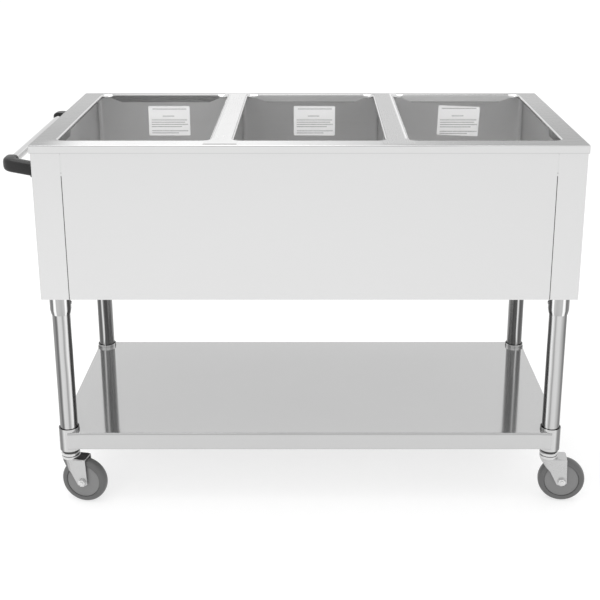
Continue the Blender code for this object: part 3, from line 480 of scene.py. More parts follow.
def rounded_box(low, high, radius, steps=3):
    """Counter-clockwise outline of a rectangle with round corners, in a plane."""
    x0, y0, x1, y1 = low[0] + radius, low[1] + radius, high[0] - radius, high[1] - radius
    points = []
    for center, start in (((x1, y0), -90), ((x1, y1), 0), ((x0, y1), 90), ((x0, y0), 180)):
        points += arc(center, radius, start, start + 90, steps)
    return points


def plate(outline, low, high, edge=0.0):
    """Flat plate from an outline in XY, between two heights, its upper rim bevelled by edge."""
    levels = [(outline, low), (outline, high - edge)]
    if edge:
        center = sum(outline, Vector((0, 0))) / len(outline)
        inner = [center + (point - center) * (1 - edge / (point - center).length) for point in outline]
        levels.append((inner, high))
    return loft([at_height(points, z) for points, z in levels])


def box_plate(low, high, corner, bottom, top, steps=2):
    """Flat plate with round corners, between two heights."""
    return plate(rounded_box(low, high, corner, steps), bottom, top)


def sweep(path, section, up):
    """Solid swept along a path. Section gives (side, up) points for each place along it, 0 to 1."""
    rings = []
    last = len(path) - 1
    for i, point in enumerate(path):
        tangent = (path[min(i + 1, last)] - path[max(i - 1, 0)]).normalized()
        side = tangent.cross(up).normalized()
        top = side.cross(tangent)
        rings.append([point + side * s + top * t for s, t in section(i / last)])
    return loft(rings)


def oval(half_side, half_up, count=32, power=1.0):
    """Outline of an ellipse, squarer where power is below 1."""
    points = []
    for a in angles(count):
        c, s = math.cos(a), math.sin(a)
        side = half_side * math.copysign(abs(c) ** power, c)
        points.append((side, half_up * math.copysign(abs(s) ** power, s)))
    return points


def hexagon(apothem, count, start):
    """Outline of a hexagon with a given count of points, its first flat's edge at an angle."""
    made = []
    for a in angles(count):
        off = a % (math.pi / 3) - math.pi / 6
        made.append(Vector((math.cos(a + start), math.sin(a + start))) * (apothem / math.cos(off)))
    return made


def moved(bm, matrix):
    bmesh.ops.transform(bm, matrix=matrix, verts=bm.verts)
    return bm


def joined(*meshes):
    """One bmesh from several."""
    whole = bmesh.new()
    for bm in meshes:
        part = bpy.data.meshes.new("part")
        bm.to_mesh(part)
        bm.free()
        whole.from_mesh(part)
        bpy.data.meshes.remove(part)
    return whole


def add(name, data):
    """A new object in the scene."""
    obj = bpy.data.objects.new(name, data)
    bpy.context.scene.collection.objects.link(obj)
    return obj


def piece(name, bm, material, replaced=None, body="frame", place=None, sharp=32, zones=()):
    """Turns a bmesh into an object of the model that rides on a body, for a CAD node if one is given.

    Zones are (material, test) pairs: a face takes the last one whose test of its normal and centre is true.
    """
    if place is not None:
        moved(bm, place)
    bmesh.ops.recalc_face_normals(bm, faces=bm.faces)
    for index, (_, test) in enumerate(zones, 1):
        for face in bm.faces:
            if test(face.normal, face.calc_center_median()):
                face.material_index = index
    mesh = bpy.data.meshes.new(name)
    bm.to_mesh(mesh)
    bm.free()
    mesh.polygons.foreach_set("use_smooth", [True] * len(mesh.polygons))
    mesh.set_sharp_from_angle(angle=math.radians(sharp))
    mesh.materials.append(material)
    for zone_material, _ in zones:
        mesh.materials.append(zone_material)
    obj = add(name, mesh)
    modifier = obj.modifiers.new("weighted_normals", "WEIGHTED_NORMAL")
    modifier.keep_sharp = True
    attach(obj, body)
    if replaced:
        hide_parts(replaced)


def between(low, high, where=lambda normal, center: True):
    """Zone test for the faces between two heights that also pass another test."""
    return lambda normal, center: low < center.z < high and where(normal, center)


def faces_sideways(normal, center):
    return abs(normal.z) < 0.8


def paint(names, material):
    for name in names:
        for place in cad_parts[name].material_slots:
            place.material = material


# ---------- deck


def opening_outline(center_x, grow):
    """One well's opening, grown by a distance, with points where its flange's depth changes."""
    half_x, half_y, radius = OPENING_X / 2 + grow, OPENING_Y / 2 + grow, OPENING_CORNER + grow
    cuts = [TAPER * t for t in (0.12, 0.25, 0.38, 0.5, 0.75, 1.0)]
    along_x = [OPENING_X / 2 - OPENING_CORNER - cut for cut in cuts]
    along_y = [OPENING_Y / 2 - OPENING_CORNER - cut for cut in cuts]
    tab, ramp = TAB_END_Y - OPENING_CENTER_Y, 0.004
    along_x = sorted([-x for x in along_x] + along_x)
    along_y = sorted([-y for y in along_y] + [tab - ramp, tab + ramp] + along_y)
    sides = (
        (1, -1, [(half_x, y) for y in along_y]),
        (1, 1, [(x, half_y) for x in along_x[::-1]]),
        (-1, 1, [(-half_x, y) for y in along_y[::-1]]),
        (-1, -1, [(x, -half_y) for x in along_x]),
    )
    points = []
    for i, (sx, sy, side) in enumerate(sides):
        start = 90 * i - 90
        points += arc((sx * (half_x - radius), sy * (half_y - radius)), radius, start, start + 90, 8)
        points += [Vector(point) for point in side]
    return [point + Vector((center_x, OPENING_CENTER_Y)) for point in points]


def flange_depth(center_x, outer, point):
    """Depth of an opening's folded edge: deep at the front and back, shallow at the corners and sides."""
    x = abs(point.x - center_x)
    if x > OPENING_X / 2 - OPENING_CORNER * 0.3:
        near_front = OPENING_CENTER_Y - OPENING_Y / 2 + OPENING_CORNER
        on_tab = outer * (point.x - center_x) > 0 and near_front < point.y < TAB_END_Y
        return FLANGE_DEEP if on_tab else FLANGE_SHORT
    share = min(1.0, max(0.0, (OPENING_X / 2 - OPENING_CORNER - x) / TAPER))
    return FLANGE_SHORT + (FLANGE_DEEP - FLANGE_SHORT) * share


def bend_radius(center_x, point):
    """Outer radius of an opening's fold, larger where the metal curls at the back corners."""
    core, fade = 0.004, 0.013
    side = math.copysign(OPENING_X / 2 - CURL_INSET, point.x - center_x)
    curl = Vector((center_x + side, OPENING_CENTER_Y + OPENING_Y / 2))
    share = min(1.0, max(0.0, 1 - ((point - curl).length - core) / fade))
    return BEND + (CORNER_BEND - BEND) * share**2 * (3 - 2 * share)


def folded_edge(bm, outline_at, depth_at, radius_at):
    """Sheet edge folded down: returns the rims that the top and the underside are filled between.

    outline_at gives the edge moved by a distance into the sheet.
    """
    base = outline_at(0.0)
    into = [(far - near).normalized() for near, far in zip(base, outline_at(0.001))]
    bends = [radius_at(point) for point in base]
    depths = [max(depth_at(point), bend + HEM + 0.0006) for point, bend in zip(base, bends)]

    def arcs(radii, start):
        made = []
        for c, s in quarter_turn(4):
            offsets = [start + r * (1 - s) for r in radii]
            made.append((offsets, [start + r * (1 - c) for r in radii]))
        return made

    flush = [0.0] * len(base)
    levels = arcs(bends, 0.0)
    levels += [(flush, [depth - HEM for depth in depths]), (flush, depths), ([SHEET] * len(base), depths)]
    levels += arcs([r - SHEET for r in bends], SHEET)[::-1]
    loops = []
    for offsets, drops in levels:
        places = [p + n * offset for p, n, offset in zip(base, into, offsets)]
        loops.append(loop(bm, [Vector((p.x, p.y, DECK_Z - drop)) for p, drop in zip(places, drops)]))
    for first, second in zip(loops, loops[1:]):
        bridge(bm, first, second)
    return loops[0], loops[-1]


def deck_outline(inward):
    corner = 0.004
    low = (DECK_LOW.x + inward, DECK_LOW.y + inward)
    return rounded_box(low, (DECK_HIGH.x - inward, DECK_HIGH.y - inward), corner - inward, 4)


def fill_between(bm, loops):
    edges = []
    for rim in loops:
        for i, vert in enumerate(rim):
            edges.append(bm.edges.get((vert, rim[(i + 1) % len(rim)])))
    bmesh.ops.triangle_fill(bm, edges=edges, use_beauty=True)


def on_skirt(normal, center):
    inner_x, inner_y = DECK_HIGH.x - SKIRT_BEND, (DECK_HIGH.y - DECK_LOW.y) / 2 - SKIRT_BEND
    return abs(center.x) > inner_x or abs(center.y) > inner_y


def on_back_edge(center):
    return OPENING_CENTER_Y + OPENING_Y / 2 - 0.004 < center.y < DECK_HIGH.y - 0.006


def on_opening_fold(normal, center):
    """Folds round the openings that take a painted highlight: all of the front and sides, and the curls at
    the back corners.
    """
    inside = abs(center.x) < DECK_HIGH.x - 0.010 and abs(center.y) < DECK_HIGH.y - 0.006
    off = min(abs(center.x - x) for x in WELL_X.values())
    bright = not on_back_edge(center) or off > OPENING_X / 2 - CURL_INSET - 0.011
    return inside and bright and 0.05 < normal.z < 0.985 and center.z > DECK_Z - CORNER_BEND


def on_side_fold(normal, center):
    return on_opening_fold(normal, center) and abs(normal.x) > 0.17


def on_back_flange(normal, center):
    return normal.y < -0.9 and on_back_edge(center)


def on_lit_flange(normal, center):
    """Back flanges of the middle and right wells, which take a painted reflection of lamps over the counter.
    """
    return on_back_flange(normal, center) and center.x > -WELL_X["right"] / 2


def make_deck():
    bm = bmesh.new()
    rims = [folded_edge(bm, deck_outline, lambda p: SKIRT_DROP, lambda p: SKIRT_BEND)]
    for outer, side in enumerate(SIDES, -1):
        x = WELL_X[side]
        outline_at = functools.partial(opening_outline, x)
        depth_at = functools.partial(flange_depth, x, outer)
        rims.append(folded_edge(bm, outline_at, depth_at, functools.partial(bend_radius, x)))
    fill_between(bm, [top for top, _ in rims])
    fill_between(bm, [bottom for _, bottom in rims])
    # painted shade on the skirt's bend and lowest strip and on the back flanges' lowest strip; painted
    # highlights on the opening folds; a painted reflection on the back flanges of the middle and right wells
    zones = (
        (front_steel, between(0, DECK_Z - SKIRT_BEND, on_skirt)),
        (skirt_bend_painted_shade, between(DECK_Z - SKIRT_BEND, DECK_Z - 0.0001, on_skirt)),
        (skirt_hem_painted_shade, between(0, DECK_Z - SKIRT_DROP + HEM, on_skirt)),
        (fold_painted_highlight, on_opening_fold),
        (side_fold_painted_highlight, on_side_fold),
        (flange_painted_reflection, on_lit_flange),
        (flange_hem_painted_shade, between(0, DECK_Z - FLANGE_DEEP + HEM, on_back_flange)),
    )
    piece("deck", bm, deck_steel, "deck_top", sharp=40, zones=zones)


FOOT_HALF = 0.0335  # half width of a strap's foot, and where its front edge lies
FOOT_FRONT = DECK_LOW.y + 0.0145
STRAP_GAP = 0.0012  # from a strap's edge to the fold of an opening


def strap_outline(half_gap, half_width):
    """A divider strap: straight between the wells, its ends flared round the openings' corners."""
    center_x = half_gap + OPENING_CORNER
    right = [Vector((FOOT_HALF, FOOT_FRONT))]
    for side, bend in ((-1, BEND), (1, CORNER_BEND)):
        radius = OPENING_CORNER + bend + STRAP_GAP
        start = math.degrees(math.acos((center_x - half_width) / radius))
        corner_y = OPENING_CENTER_Y + side * (OPENING_Y / 2 - OPENING_CORNER)
        flare = arc((center_x, corner_y), radius, 180 - side * 80, 180 - side * start, 8)
        flare = [point for point in flare if point.x <= FOOT_HALF]
        right += flare if side < 0 else flare[::-1]
    right.append(Vector((FOOT_HALF, DECK_HIGH.y - 0.008)))
    return right + [Vector((-point.x, point.y)) for point in reversed(right)]


def spot_weld(x, y):
    weld = lathe([(AXIS, 0.0), (0.0026, 0.0), (0.0022, 0.00012), (AXIS, 0.00016)], 16, 0.0)
    squash = Matrix.Diagonal((1.7, 0.8, 1.0, 1.0))
    return moved(weld, shift(x, y, STRAP_Z - 0.00016) @ squash)


def make_straps():
    """Strips over the two dividers, with spot-weld dimples and a lapped foot on the front band."""
    weld_rows = (-0.197, 0.023)
    half_gap = (WELL_X["right"] - WELL_X["middle"] - OPENING_X) / 2
    half = half_gap - BEND - STRAP_GAP
    for side, sign, metal in (("left", -1, strap_painted_reflection), ("right", 1, strap_steel)):
        x = sign * WELL_X["right"] / 2
        outline = [point + Vector((x, 0)) for point in strap_outline(half_gap, half)]
        strap = plate(outline, DECK_Z - 0.0002, STRAP_Z - 0.0001)
        welds = [spot_weld(x + k * half * 0.6, y) for y in weld_rows for k in (-1, 0, 1)]
        piece(f"{side}_divider_strap", joined(strap, *welds), metal, sharp=20)
        # painted shadow: a near black line under the left strap's lapped foot, a thin dull line under the
        # right one
        lap_depth, lap_shade_metal = (0.0030, painted_shadow_steel) if sign < 0 else (0.0008, dull_steel)
        crease_x = x - half + 0.0026
        lines = [
            ((x - FOOT_HALF, FOOT_FRONT - lap_depth), (x + FOOT_HALF, FOOT_FRONT - 0.0001)),
            ((crease_x, -0.215), (crease_x + 0.0007, 0.262)),
        ]
        lines = [box_plate(low, high, 0.0003, STRAP_Z - 0.0003, STRAP_Z - 0.00005) for low, high in lines]
        lap_zone = ((lap_shade_metal, lambda normal, center: center.y < FOOT_FRONT),)
        piece(f"{side}_strap_seams", joined(*lines), dull_steel, zones=lap_zone)
        # painted highlight along the right strap's right edge, behind the front band
        if sign > 0:
            paint_reflection(metal, 0.86, (X, x + half - 0.006, x + half - 0.002), (Y, -0.228, -0.218))


make_deck()
make_straps()

# ---------- wells


def make_notices():
    """Printed paper notices on the wells' back walls, each stuck on a little off the middle."""
    height_low, height_high, half_width = 0.715, 0.789, 0.051
    center = (height_low + height_high) / 2
    for side, offset, tilt in (("left", 0.0066, 0.0), ("middle", 0.010, 0.3), ("right", 0.0104, 2.5)):
        outline = rounded_box((-half_width, height_low), (half_width, height_high), 0.003, 4)
        wall = LINER[side][1].y - 0.0068
        tilted = shift(y=center) @ turn("Z", -tilt) @ shift(y=-center)
        place = shift(WELL_X[side] + offset, wall) @ TOWARDS_CUSTOMER @ tilted
        bm = plate(outline, 0.0, 0.0003, 0.0001)
        piece(f"{side}_well_notice", bm, paper, place=place)


def liner_ring(side, inward, z, corner):
    """Level outline of a well liner, moved inwards from its rim's outer edge."""
    low, high = LINER[side]
    near, far = (low.x + inward, low.y + inward), (high.x - inward, high.y - inward)
    return at_height(rounded_box(near, far, corner - inward, 12), z)


def make_liner(side):
    """Drawn pan with a rim under the deck, round corners and a rolled bottom edge."""
    low, high = LINER[side]
    wall, rim, inner_radius, steps = 0.0008, 0.006, 0.008, 6
    corner = 0.010 + wall + rim

    def bottom_edge(inward, z, radius):
        return [(inward + radius * (1 - c), z + radius * (1 - s)) for c, s in quarter_turn(steps)]

    levels = bottom_edge(rim, low.z, inner_radius + wall)[::-1]
    levels += [(rim, high.z - wall), (0.0, high.z - wall), (0.0, high.z), (rim + wall, high.z)]
    levels += bottom_edge(rim + wall, low.z + wall, inner_radius)
    bm = loft([liner_ring(side, inward, z, corner) for inward, z in levels])
    piece(f"{side}_well_pan", bm, liner_steel, f"{side}_well_liner", sharp=40)


for side_name in SIDES:
    make_liner(side_name)
make_notices()
paint([f"{side}_heating_element" for side in SIDES], sheath)
paint([f"{side}_heat_switch" for side in SIDES] + ["terminal_block"], ivory_plastic)
paint(["insulation_wrap"], wool)
paint(["bottom_pan", "shelf_stiffener"], dull_steel)

# ---------- panels

paint(["front_panel", "back_panel", "control_panel"], front_steel)
paint(["left_side_panel", "right_side_panel"], side_steel)
paint(["cable_gland"], black_plastic)


def make_seam_joints():
    """The two front seams: a dark strip painted as the seam's shadow, above it a tongue with a small plug at
    its lower end.
    """
    tongue_low, tongue_high, plug_z = 0.756, 0.800, 0.762
    stand = shift(y=FRONT_LOW.y) @ TOWARDS_CUSTOMER
    for side, sign in (("left", -1), ("right", 1)):
        x = sign * (FRONT_HIGH.x + 0.0004)
        low, high = (x - 0.00075, FRONT_LOW.z + 0.001), (x + 0.00075, tongue_low)
        seam_shadow = box_plate(low, high, 0.0001, -0.0010, 0.00005)
        low, high = (x - 0.0012, tongue_low), (x + 0.0012, tongue_high)
        tongue = box_plate(low, high, 0.0005, -0.0014, -0.0004)
        plug = lathe([(AXIS, -0.0010), (0.0015, -0.0010), (0.0015, 0.0002), (AXIS, 0.0004)], 20, 0.0002)
        # near black strip painted as the shadow inside the seam
        piece(f"{side}_seam_painted_shadow", seam_shadow, painted_shadow_steel, place=stand)
        piece(f"{side}_seam_tongue", tongue, front_steel, place=stand)
        piece(f"{side}_seam_plug", plug, dull_steel, place=stand @ shift(x, plug_z))


make_seam_joints()

# ---------- push handle


def elbow_section(t):
    """Section of an elbow at a share of its length: a foot ring, a soft square arm, a narrower tip."""
    half = 0.0140
    if t < 0.10:
        half += 0.0025
    if t > 0.985:
        half -= 0.0018
    return oval(half, half, 40, 0.62)


def make_elbow(name, inward, tube_radius):
    """Moulded elbow from the side panel to the tube's end, with a bead round its mouth."""
    low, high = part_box(name)
    foot_half, foot_drop, arm_length, bend = 0.0175, 0.010, 0.027, 0.015
    arm_y = low.y + foot_half if inward > 0 else high.y - foot_half
    tube = middle((TUBE_LOW, TUBE_HIGH))
    knee = Vector((tube.x, arm_y, tube.z))
    foot = Vector((high.x, arm_y, knee.z - foot_drop))
    reach = knee + Vector((0, inward * arm_length, 0))
    path = rounded([foot, knee, reach], bend, 14)
    arm = [foot.lerp(path[1], t) for t in (0.06, 0.10, 0.14, 0.3, 0.6)]
    tail = [path[-2].lerp(reach, t) for t in (0.4, 0.8, 0.93)]
    path = [path[0]] + arm + path[1:-1] + tail + [reach]
    cover = sweep(path, elbow_section, Vector((0, 0, 1)))
    outer, inner = tube_radius + 0.0016, tube_radius + 0.0003
    bead = pipe(outer, inner, -0.0004, 0.0012, 40, 0.0004)
    moved(bead, shift(*reach) @ turn("X", -90 * inward))
    piece(f"{name}_cover", joined(cover, bead), black_plastic, name, sharp=50)


def make_handle():
    radius = (TUBE_HIGH.x - TUBE_LOW.x) / 2
    half = (TUBE_HIGH.y - TUBE_LOW.y) / 2
    stand = shift(*middle((TUBE_LOW, TUBE_HIGH))) @ TOWARDS_OPERATOR
    bm = pipe(radius, radius - SHEET, -half, half, 48, 0.0002)
    piece("handle_grip", bm, grip_chrome, "handle_tube", place=stand)
    make_elbow("front_handle_elbow", 1, radius)
    make_elbow("rear_handle_elbow", -1, radius)


make_handle()

# ---------- legs and shelf


def leg_place(corner):
    spot = middle(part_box(f"{corner}_leg"))
    return shift(spot.x, spot.y)


def leg_piece(corner, name, bm, metals, replaced):
    """A piece round a leg's axis, in the left or the right metal of a set."""
    metal = metals[corner.split("_")[1]]
    piece(f"{corner}_{name}", bm, metal, f"{corner}_{replaced}", place=leg_place(corner))


def make_leg(corner):
    wall = 0.0015
    bm = pipe(LEG_RADIUS, LEG_RADIUS - wall, LEG_LOW.z, LEG_HIGH.z, 64, 0.0003)
    metals = LEG_CHROME if corner.startswith("front") else REAR_CHROME
    leg_piece(corner, "leg_tube", bm, metals, "leg")


def make_socket(corner):
    """Flanged cup under the body with a tapered mouth and a grub screw on its inner side."""
    low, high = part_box(f"{corner}_leg_socket")
    outer, bore = (high.x - low.x) / 2 - 0.002, LEG_RADIUS + 0.0003
    profile = [
        (outer + 0.002, high.z), (outer + 0.002, high.z - 0.003), (outer, high.z - 0.003),
        (outer, low.z + 0.011), (LEG_RADIUS + 0.0012, low.z), (bore, low.z), (bore, high.z - 0.002),
        (AXIS, high.z - 0.002), (AXIS, high.z),
    ]
    head, recess, tall, deep = 0.0036, 0.0018, 0.0012, 0.0004
    screw = [(AXIS, 0.0), (head, 0.0), (head, tall), (recess, tall), (recess, deep), (AXIS, deep)]
    screw = lathe(screw, 24, 0.0003)
    side = -1 if corner.endswith("left") else 1
    moved(screw, shift(-side * outer, 0, low.z + 0.024) @ turn("Y", -90 * side))
    cup = joined(lathe(profile, 64, 0.0006, ring=True), screw)
    leg_piece(corner, "socket", cup, SOCKET_CHROME, "leg_socket")


def make_collar(corner):
    low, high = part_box(f"{corner}_shelf_collar")
    outer, mouth, bore = (high.x - low.x) / 2, LEG_RADIUS + 0.0016, LEG_RADIUS + 0.0003
    profile = [(outer, low.z), (outer, high.z), (mouth, high.z)]
    profile += [(mouth, high.z - 0.003), (bore, high.z - 0.003), (bore, low.z)]
    bm = lathe(profile, 64, 0.0010, ring=True, steps=3)
    leg_piece(corner, "collar", bm, COLLAR_CHROME, "shelf_collar")


def shelf_edge(across, tangent, end, blend):
    """One edge of the shelf on its way to a collar, as (along, across) from the leg's axis."""
    ramp, steps = 0.034, 6
    rise = tangent - across if blend else 0.0
    points = []
    for i in range(steps + 1):
        t = i / steps
        points.append((-ramp + (end + ramp) * i / steps, across + rise * (3 * t * t - 2 * t**3)))
    return points


def shelf_outline(inward, blend):
    """Plan of the undershelf, hollowed round each collar.

    Blend carries its edges out to the collars' tangents.
    """
    leg = middle((LEG_LOW, LEG_HIGH)).to_2d()
    rim = Vector((SHELF_HIGH.x - inward, SHELF_HIGH.y - inward))
    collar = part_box("rear_right_shelf_collar")
    tangent = (collar[1].x - collar[0].x) / 2 + 0.0001
    radius = tangent - 0.0006 + inward
    edges = []
    for across in (rim.y - leg.y, rim.x - leg.x):
        end = 0.0 if blend else -math.sqrt(radius**2 - across**2)
        edges.append(shelf_edge(across, tangent, end, blend))
    first = [Vector((x, y)) for x, y in edges[0]]
    last = [Vector((x, y)) for y, x in edges[1]]
    start, end = (math.degrees(math.atan2(p.y, p.x)) for p in (first[-1], last[-1]))
    hollow = arc((0, 0), radius, start + 4, 360 + end - 4, 20)
    corner = [point + leg for point in first + hollow + last[::-1]]
    outline = []
    for sx, sy in ((1, 1), (1, -1), (-1, -1), (-1, 1)):
        quarter = [Vector((sx * point.x, sy * point.y)) for point in corner]
        outline += quarter if sx * sy > 0 else quarter[::-1]
    return outline


def make_shelf():
    """Shelf sheet with a rolled edge, a deep lip and an inward hem along the lip's bottom."""
    top, bottom = SHELF_HIGH.z, SHELF_LOW.z
    bend, hem = 0.0016, 0.012
    shade, bottom_shade = 0.0032, 0.0018  # strips along the lip painted darker as shade
    sheet_top, sheet_bottom = top - SHEET, bottom + SHEET
    levels = [(hem, sheet_bottom, False), (hem, bottom, False), (0.0003, bottom, True)]
    levels += [(0.0, z, True) for z in (bottom + 0.0003, bottom + bottom_shade, top - bend - shade)]
    levels += [(bend * (1 - c), top - bend * (1 - s), True) for c, s in quarter_turn(4)]
    under = [(SHEET + 0.0004, sheet_top), (SHEET, sheet_top - 0.0004), (SHEET, sheet_bottom)]
    bm = bmesh.new()
    loops = [loop(bm, at_height(shelf_outline(inward, blend), z)) for inward, z, blend in levels]
    above = loops[-1]
    loops += [loop(bm, at_height(shelf_outline(inward, False), z)) for inward, z in under]
    below = loops[len(levels)]
    for i, ring in enumerate(loops):
        if ring is not above:
            bridge(bm, ring, loops[(i + 1) % len(loops)])
    fill_between(bm, [above])
    fill_between(bm, [below])
    rolled = top - bend * 0.5
    # painted shade on the strip under the lip's roll and on its lowest strip
    zones = (
        (lip_steel, between(0, rolled, lambda normal, center: normal.z < 0.8)),
        (lip_edge_painted_shade, between(top - bend - shade, rolled, faces_sideways)),
        (lip_hem_painted_shade, between(0, bottom + bottom_shade, faces_sideways)),
    )
    piece("shelf", bm, shelf_steel, "undershelf", sharp=30, zones=zones)


for corner_name in CORNERS:
    make_leg(corner_name)
    make_socket(corner_name)
    make_collar(corner_name)
make_shelf()

# ---------- casters

CROWN = 0.1060  # top of a fork's crown plate
CHEEK_INNER, CHEEK_SHEET = 0.0146, 0.0025  # from the fork's middle to a cheek, and its thickness


def caster_place(corner):
    """Swivel frame with +X along the trail, the hub's place in it, and the trail and hub height."""
    leg = middle(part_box(f"{corner}_leg"))
    hub = middle(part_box(f"{corner}_caster_wheel"))
    angle = math.degrees(math.atan2(hub.y - leg.y, hub.x - leg.x))
    swivel = shift(leg.x, leg.y) @ turn("Z", angle)
    trail = math.hypot(hub.x - leg.x, hub.y - leg.y)
    return swivel, swivel @ shift(trail, 0, hub.z) @ TOWARDS_CUSTOMER, trail, hub.z


def wheel_profiles(radius, half):
    """Half sections of the tyre and of the hub disc inside it, (radius, height)."""
    web = 0.0375
    tyre_side = [
        (web, half - 0.0020), (web + 0.0006, half - 0.0004), (web + 0.0030, half),
        (radius - 0.0096, half), (radius - 0.0088, half - 0.0006),
    ]
    # crowned tread, from the shoulder to the middle
    shoulder, crown = radius - 0.0084, 0.0084
    for a in (6, 20, 34, 48, 62, 76, 87):
        t = math.radians(a)
        tyre_side.append((shoulder + crown * math.sin(t), (half - 0.0008) * math.cos(t) ** 0.8))
    disc_side = [
        (0.0056, half + 0.0006), (0.0110, half + 0.0006), (0.0118, half - 0.0024),
        (web - 0.0022, half - 0.0030), (web - 0.0004, half - 0.0022),
    ]
    return [side + [(r, -z) for r, z in reversed(side)] for side in (tyre_side, disc_side)]


def make_stem(corner):
    """Stem in the leg's end, its neck painted dark as shade, the upper race and the kingpin's nut under it.
    """
    low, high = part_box(f"{corner}_caster_stem")
    neck_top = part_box(f"{corner}_leg")[0].z - 0.0005
    stem, neck, race, shoulder = 0.0170, 0.0183, 0.0205, 0.1172
    profile = [
        (AXIS, high.z), (stem - 0.0020, high.z), (stem, high.z - 0.004), (stem, neck_top),
        (neck, neck_top), (neck, shoulder + 0.0008), (race - 0.0010, shoulder),
        (race, shoulder - 0.0012), (race, 0.1126), (race - 0.0012, 0.1120), (race - 0.0012, 0.1114),
        (race - 0.0018, 0.1103), (0.0062, 0.1103), (0.0062, 0.1032), (0.0090, 0.1032),
        (0.0082, low.z + 0.0003), (AXIS, low.z),
    ]
    bm = lathe(profile, 48, 0.0006)
    # painted shade: the neck under the leg's end in near black
    zones = ((painted_shadow_steel, between(shoulder + 0.0004, neck_top + 0.0005)),)
    name, here = f"{corner}_caster_stem", leg_place(corner)
    piece(f"{corner}_stem", bm, bright_zinc, name, place=here, zones=zones)


def cheek_outline(trail, hub_z, crown):
    """Side view of a fork cheek: steep front, rear edge in two slopes, blunt point under the axle."""
    points = [
        (trail + 0.0090, crown), (trail + 0.0115, hub_z - 0.0045), (trail + 0.0010, hub_z - 0.0115),
        (trail - 0.0105, hub_z - 0.0080), (0.0004, hub_z + 0.030), (-0.0046, crown - 0.004),
        (-0.0050, crown),
    ]
    return rounded([Vector(point) for point in points], 0.0024, 4, closed=True)


def crown_plate(front, half):
    """Top of the fork: square corners rounded in front, a half circle behind, a bevelled rim."""
    corner = 0.006
    outline = arc((front - corner, corner - half), corner, -90, 0, 6)
    outline += arc((front - corner, half - corner), corner, 0, 90, 6)
    outline += arc((0, 0), half, 90, 270, 20)
    center = Vector(((front - half) / 2, 0))
    rings = []
    for inward, drop in ((0.0, CHEEK_SHEET), (0.0, 0.0012), (0.0003, 0.0003), (0.0010, 0.0)):
        points = [point + (center - point).normalized() * inward for point in outline]
        rings.append(at_height(points, CROWN - drop))
    return loft(rings)


def fork_back(hub_z, half):
    """Rounded back of the fork, from under the race down to where the two cheeks part."""
    wall, steps = 0.0016, 16
    rings = []
    for i in range(steps + 1):
        a = math.pi / 2 + math.pi * i / steps
        back, side = -math.cos(a), math.sin(a)
        section = []
        for inward in (0.0, wall):
            top = Vector((-(0.0198 - inward) * back, (half + 0.0006 - inward) * side, CROWN - 0.0024))
            foot_x = 0.0040 - (0.0165 - inward) * back
            foot = Vector((foot_x, (half + 0.0004 - inward) * side, hub_z + 0.023 + 0.016 * back))
            waist = top.lerp(foot, 0.5) + Vector((-0.0012 * back, 0, 0))
            section.append([top, waist, foot])
        rings.append(section[0] + section[1][::-1])
    return loft(rings)


def make_fork(corner, swivel, trail, hub_z):
    """Pressed fork: two cheeks, a crown plate, a rounded back and the lower race's cup."""
    outline = cheek_outline(trail, hub_z, CROWN - 0.0008)
    cheeks = []
    for side in (-1, 1):
        bm = plate(outline, -CHEEK_SHEET / 2, CHEEK_SHEET / 2)
        bmesh.ops.bevel(bm, geom=bm.edges[:], offset=0.0005, segments=2, affect="EDGES", clamp_overlap=True)
        cheeks.append(moved(bm, shift(y=side * (CHEEK_INNER + CHEEK_SHEET / 2)) @ TOWARDS_CUSTOMER))
    half = CHEEK_INNER + CHEEK_SHEET
    fork = joined(*cheeks, crown_plate(trail + 0.0090, half))
    race_profile = [
        (0.0066, CROWN - 0.0022), (0.0196, CROWN - 0.0022), (0.0204, CROWN + 0.0002), (0.0204, 0.1084),
        (0.0196, 0.1098), (0.0066, 0.1098),
    ]
    race = lathe(race_profile, 48, 0.0006, ring=True)
    on_left = corner.endswith("left")
    # left casters only: painted shadow on the crown's top and painted shade bands on the rounded back; the
    # right ones stay plain zinc
    top_metal, back_metal = (painted_shadow_steel, fork_back_painted_shade) if on_left else (zinc, zinc)
    slot, name, body = "zinc_casting", f"{corner}_caster_fork", f"{corner}_swivel"
    zones = ((top_metal, between(CROWN - 0.0015, CROWN + 0.0015, lambda normal, center: normal.z > 0.9)),)
    piece(f"{corner}_fork", fork, zinc, name, body, swivel, sharp=38, zones=zones)
    piece(f"{corner}_race", race, bright_zinc, None, body, swivel)
    piece(f"{corner}_fork_back", fork_back(hub_z, half), back_metal, None, body, swivel, sharp=45)


def make_axle(corner, hub):
    """Axle bolt with a hexagonal head, a nut and its thread's end, over two dull washers."""
    washer = 0.0008
    seat = CHEEK_INNER + CHEEK_SHEET + 0.0003 + washer
    head, shank, thread, chamfer = 0.0074, 0.0050, 0.0046, 0.0064
    profile = [
        (chamfer, -seat - 0.0044, False), (head, -seat - 0.0036, True), (head, -seat, True),
        (shank, -seat, False), (shank, seat, False), (head, seat, True), (head, seat + 0.0040, True),
        (chamfer, seat + 0.0048, False), (thread, seat + 0.0048, False), (thread, seat + 0.0064, False),
        (thread - 0.0008, seat + 0.0070, False),
    ]
    count = 36
    rings = []
    for radius, z, six_sided in profile:
        outline = hexagon(radius, count, math.radians(12)) if six_sided else oval(radius, radius, count)
        rings.append(at_height(outline, z))
    slot, name, body = "zinc_casting", f"{corner}_caster_axle", f"{corner}_swivel"
    piece(f"{corner}_axle_bolt", loft(rings), chrome, name, body, hub)
    discs = []
    for side in (-1, 1):
        near, far = side * (seat - washer - 0.0002), side * seat
        disc_profile = [(0.0051, near), (0.0094, near), (0.0094, far), (0.0051, far)]
        discs.append(lathe(disc_profile, count, 0.0003, ring=True))
    piece(f"{corner}_axle_washers", joined(*discs), dull_steel, None, body, hub)


